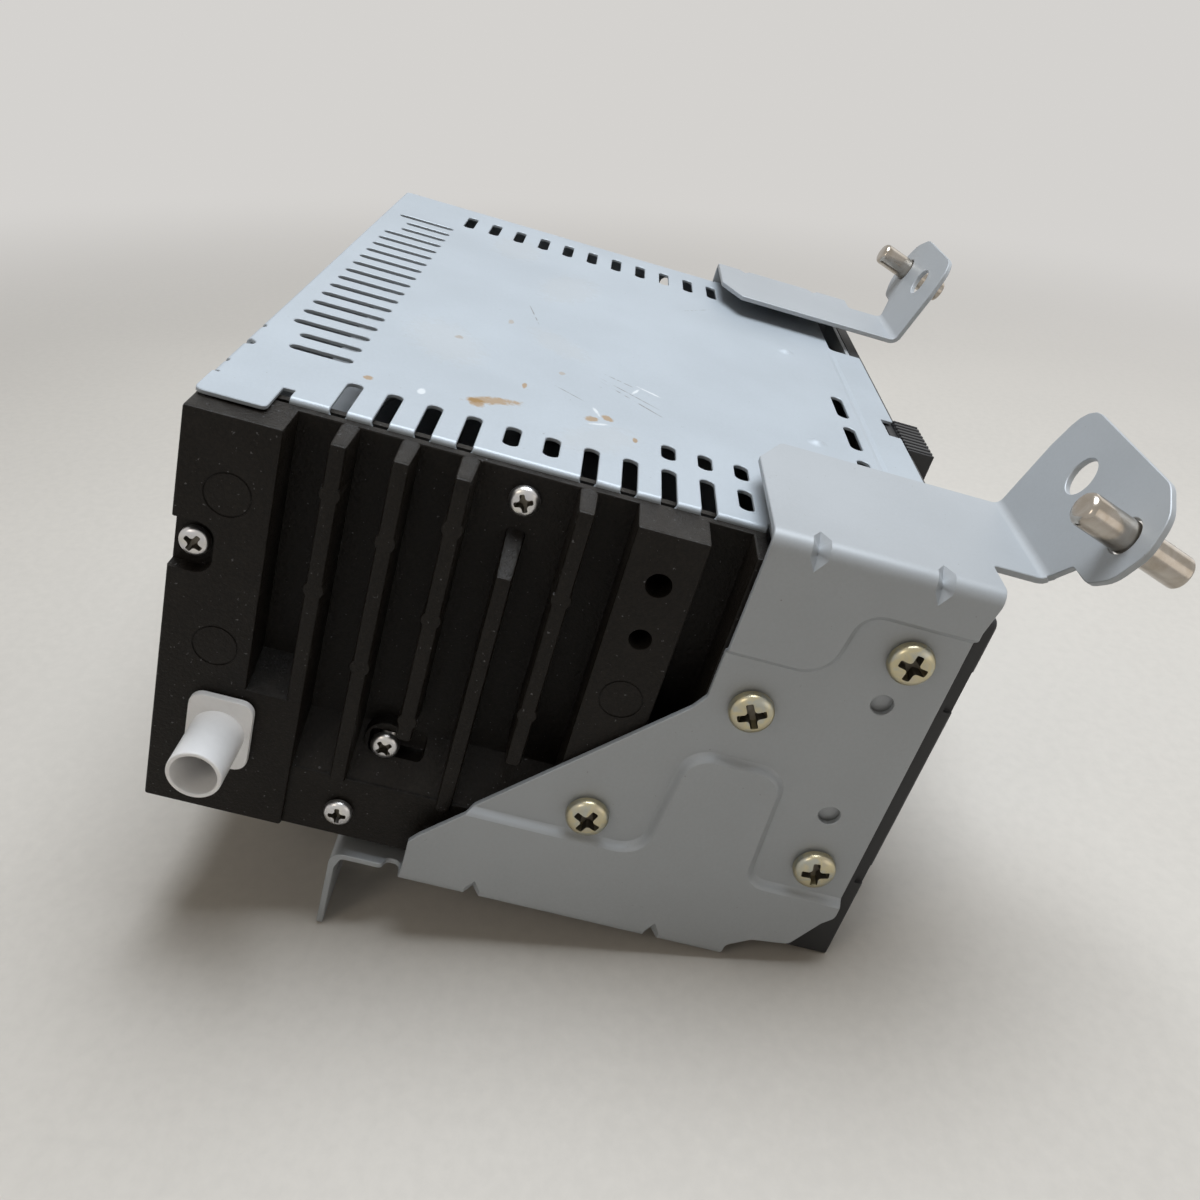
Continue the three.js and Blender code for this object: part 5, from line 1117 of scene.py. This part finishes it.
def keyMarks(name, x, z, face):
    def bar(low, high):
        return flatShape(rectangle((x + low[0], z + low[1]), (x + high[0], z + high[1]), 0.12, 2), face)

    def arrow(tip, base, half):
        return flatShape([(x + tip, z), (x + base, z + half), (x + base, z - half)], face)

    if name.startswith("preset"):
        return [digitMark(name[-1], 4.4, x, z, face)]
    if name.startswith("seek"):
        way = -1 if "down" in name else 1
        return [arrow(way * 2.6, way * 0.2, 1.5), arrow(-way * 0.1, -way * 2.5, 1.5)]
    if name.startswith("band"):
        steps = ((-1.9, -0.3), (-0.4, 0.6), (1.1, 1.5))
        return [bar((shift, -1.4), (shift + 0.7, height)) for shift, height in steps]
    if name.startswith("menu"):
        return [bar((-2, shift), (2, shift + 0.5)) for shift in (-1.6, -0.3, 1)]
    if name.startswith("power"):
        ring = turned([(1.9, -0.05), (1.9, 0.05), (1.45, 0.05), (1.45, -0.05)], 36)
        return [dyed(placed(ring, (x, face, z), toFront), 1), bar((-0.25, 0.2), (0.25, 2.6))]
    return [flatShape([(x - 2, z - 0.3), (x + 2, z - 0.3), (x, z + 1.9)], face), bar((-2, -1.5), (2, -0.9))]


for name in keyNames:
    spanX, spanY, spanZ = nodeBox(name)
    inset, rise = fascia["keySideLip"], fascia["keyLip"]
    path = rectangle((spanX[0] + inset, spanZ[0] + rise), (spanX[1] - inset, spanZ[1] - rise),
                     fascia["keyCorner"], 5)
    cap = prism(path, spanY[0], spanY[1] - 0.2, "y", 0.45, 3, "low")
    lip = roundBlock(spanX, (spanY[1] - 1, spanY[1]), spanZ, 0.2)
    key = joined(carve(cap, [lip]), *keyMarks(name, centre(spanX), centre(spanZ), spanY[0]))
    addPiece(name.replace("button", "key"), key, ["soft", "print"], [name], name)

knob = {"radius": 12, "length": 8.5, "shaft": 3, "ribs": 36, "groove": 0.6, "grooveOut": 0.15, "skirt": 1.4,
        "dish": 0.7}
for name, (spanX, spanY, spanZ) in knobBoxes.items():
    high, radius, skirt = knob["length"], knob["radius"], knob["skirt"]
    floorOfDish = high - knob["dish"]
    profile = softProfile([(0, 0), (radius - 0.6, 0), (radius - 0.6, skirt), (radius, skirt + 0.6, 0.3),
                           (radius - 0.6, high, 0.8), (radius - 2.4, high, 0.5),
                           (radius - 3.2, floorOfDish, 0.5), (0, floorOfDish)], 0.3, 4)
    grooves = [rod("z", a, b, knob["groove"], skirt + 1.1, high + overrun, 12)
               for a, b in circle(0, 0, radius + knob["grooveOut"], knob["ribs"])]
    shaft = rod("z", 0, 0, knob["shaft"], -(spanY[1] - spanY[0] - high), 1, 32, 0.3)
    pointer = roundBlock((-0.4, 0.4), (radius - 6.5, radius - 3.6),
                         (floorOfDish - 0.3, floorOfDish + 0.08), 0.05)
    mesh = joined(carve(turned(profile, 72), [shaft], grooves), dyed(pointer, 1))
    mesh = placed(mesh, (centre(spanX), spanY[0] + high, centre(spanZ)), toFront)
    addPiece(name + "_cap", mesh, ["soft", "print"], [name], name)

spanX, spanY, spanZ = connectorBox
connector = {"ribs": 9, "groove": 0.9, "depth": 0.6, "back": front - seat, "shoulder": 78.9}
block = roundBlock(spanX, spanY, (spanZ[0], connector["shoulder"]), 0.3)
shelf = roundBlock(spanX, (spanY[0], connector["back"]), (spanZ[0] + 1, spanZ[1] - connector["depth"]), 0.3)
pitch = (spanX[1] - spanX[0]) / connector["ribs"]
ribs = []
for index in range(connector["ribs"] + 1):
    low, high = around(spanX[0] + index * pitch, pitch - connector["groove"])
    ribs.append(roundBlock((max(low, spanX[0]), min(high, spanX[1])), (spanY[0], connector["back"]),
                           (spanZ[1] - 2, spanZ[1]), 0.28))
block = carve(block, [shelf] + ribs)
addPiece("front_connector_block", block, ["black"], ["front_connector"])

# Harness socket at the rear, with two rows of flat pins
socket = {"wall": 2, "cavity": 15, "pins": 8, "pinWidth": 1.4, "pinLength": 9, "rows": [1 / 3, 2 / 3],
          "latch": 9, "latchDepth": 5}
spanX, spanY, spanZ = nodeBox("harness_socket")
shell = roundBlock(spanX, spanY, spanZ, 0.5)
inner = [(span[0] + socket["wall"], span[1] - socket["wall"]) for span in (spanX, spanZ)]
cuts = [roundBlock(inner[0], (spanY[1] - socket["cavity"], spanY[1] + 2), inner[1], 0.4),
        roundBlock(around(centre(spanX), socket["latch"]), (spanY[1] - socket["latchDepth"], spanY[1] + 2),
                   (spanZ[1] - 3, spanZ[1] + overrun), 0.3)]
pins = []
pitch = (inner[0][1] - inner[0][0]) / socket["pins"]
start = spanY[1] - socket["cavity"] - socket["wall"]
for share in socket["rows"]:
    for index in range(socket["pins"]):
        x, z = inner[0][0] + (index + 0.5) * pitch, spanZ[0] + share * (spanZ[1] - spanZ[0])
        pins.append(dyed(roundBlock(around(x, socket["pinWidth"]), (start, start + socket["pinLength"]),
                                    around(z, socket["pinWidth"]), 0.3), 1))
shell = joined(carve(shell, [], cuts), *pins)
addPiece("harness_shell", shell, ["grey", "bright"], ["harness_socket"])
print("front and sockets made")

# Inner pieces keep the frame's own solids, with their finishes and a fine edge
innerFinishes = {
    "case": ["case", "deck_frame", "traverse_plate", "clamp_arm", "roller_arm"],
    "board": ["front_board", "main_board"], "felt": ["slot_felt"], "rubber": ["feed_roller"],
    "bright": ["tuner_can", "spindle_motor", "sled_motor", "loading_motor"], "soft": ["turntable", "clamper"],
    "nickel": ["guide_rod", "lead_screw"], "black": ["pickup_sled", "disc_guide"], "lens": ["objective_lens"],
    "white": ["idler_gear", "motor_pinion"],
}
innerEdge = {"width": 0.12, "sharperThan": 50}
for finish, names in innerFinishes.items():
    for node in (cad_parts[name] for name in names):
        node.data.materials.clear()
        node.data.materials.append(finishes[finish])
        bevel = node.modifiers.new("edge", "BEVEL")
        bevel.width, bevel.segments = innerEdge["width"] * toMetres, 1
        bevel.limit_method, bevel.angle_limit = "ANGLE", math.radians(innerEdge["sharperThan"])
        bevel.harden_normals = False
print("inner pieces finished")


# Stage: a pale floor where the radio rests, soft lamps and the camera
rest = {"front": (-68.05, 0), "leg": (29.25, -22.5)}  # y and z of the two edges that it stands on
floor = {"size": 9000, "tone": rgb(0.59, 0.555, 0.51), "fadeStart": 220, "fadeEnd": 720}
backdropTone = rgb(0.66, 0.645, 0.625)
slope = (rest["leg"][1] - rest["front"][1]) / (rest["leg"][0] - rest["front"][0])
mesh = bmesh.new()
bmesh.ops.create_grid(mesh, x_segments=1, y_segments=1, size=floor["size"] / 2 * toMetres)
floorPiece = linked("floor", stored("floor", mesh))
floorPiece.rotation_euler = (math.atan(slope), 0, 0)
floorPiece.location = (0, 0, (rest["front"][1] - slope * rest["front"][0] - 0.05) * toMetres)


def seenDirectly(make):
    # 1 for what the camera sees, also through a mirror or glass, and 0 for light that falls on things
    rays = [make("LightPath", output=f"Is {kind} Ray") for kind in ("Camera", "Glossy", "Transmission")]
    either = make("Math", {"operation": "MAXIMUM"}, {0: rays[0], 1: rays[1]})
    return make("Math", {"operation": "MAXIMUM"}, {0: either, 1: rays[2]})


ground = Finish("pale_floor")
grain = ground.noise(3, 4, 0.6)
cloud = ground.noise(220, 3, 0.5)
tone = ground.mottled(cloud * 0.6 + grain * 0.4, 0.35, 0.65, floor["tone"], 0.96, 1.04)
ground.dress(tone, 0.7 + grain * 0.12, grain, 0.2, 0.1)
distance = ground.node("VectorMath", {"operation": "LENGTH"}, {0: ground.spot}, "Value")
glow = ground.node("Emission", None, {"Color": backdropTone, "Strength": 1.0})
fade = ground.span(distance, floor["fadeStart"], floor["fadeEnd"]) * seenDirectly(ground.node)
surface = Wire(ground, ground.shader.outputs["BSDF"])
mixed = ground.node("MixShader", None, {0: fade, 1: surface, 2: glow})
ground.tree.links.new(mixed.socket, ground.tree.nodes["Material Output"].inputs["Surface"])
floorPiece.data.materials.append(ground.material)

world = bpy.data.worlds.new("studio")
bpy.context.scene.world = world
world.use_nodes = True
sky = {"light": rgb(0.15, 0.14, 0.122), "seen": backdropTone}


class Sky(Finish):
    # the world's nodes, made with the same method
    def __init__(self, tree):
        self.tree = tree


studio = Sky(world.node_tree)
skyColor = studio.blend(seenDirectly(studio.node), sky["light"], sky["seen"])
studio.feed(world.node_tree.nodes["Background"].inputs["Color"], skyColor)

# name, place, what it is aimed at, width, watts and tint
lamps = [
    ("over", (60, 60, 700), (0, 0, 40), 520, 6.1, (0.89, 0.945, 1.0)),
    ("key", (-520, 420, 380), (-40, 0, 30), 260, 0.42, (1.0, 0.9, 0.78)),
    ("fill", (-420, -480, 200), (0, 0, 30), 400, 0.22, (1.0, 0.9, 0.78)),
    ("front", (380, -480, 420), (0, 0, 30), 500, 0.4, (1.0, 1.0, 1.0)),
]
for name, place, aim, width, watts, tint in lamps:
    light = bpy.data.lights.new(name, "AREA")
    light.shape, light.size, light.energy, light.color = "DISK", width * toMetres, watts, tint
    holder = linked(name, light)
    place, aim = Vector(place) * toMetres, Vector(aim) * toMetres
    holder.location = place
    holder.rotation_euler = (aim - place).to_track_quat("-Z", "Y").to_euler()

# the photograph's viewing angle, as the camera's own axes
view = {
    "place": (-252.11, 13.59, 154.09), "lens": 34.104,
    "right": (0.04239, -0.963, 0.266146), "down": (-0.487806, -0.252425, -0.835659),
    "forward": (0.871922, -0.094404, -0.480458),
}
camera = linked("camera", bpy.data.cameras.new("camera"))
camera.data.lens, camera.data.sensor_width = view["lens"], 36
camera.data.clip_start = 0.01
across, upwards, back = Vector(view["right"]), -Vector(view["down"]), -Vector(view["forward"])
turn = Matrix((across, upwards, back)).transposed().to_4x4()
camera.matrix_world = Matrix.Translation(Vector(view["place"]) * toMetres) @ turn
bpy.context.scene.camera = camera
bpy.context.scene.view_settings.view_transform = "Standard"
print("stage set")
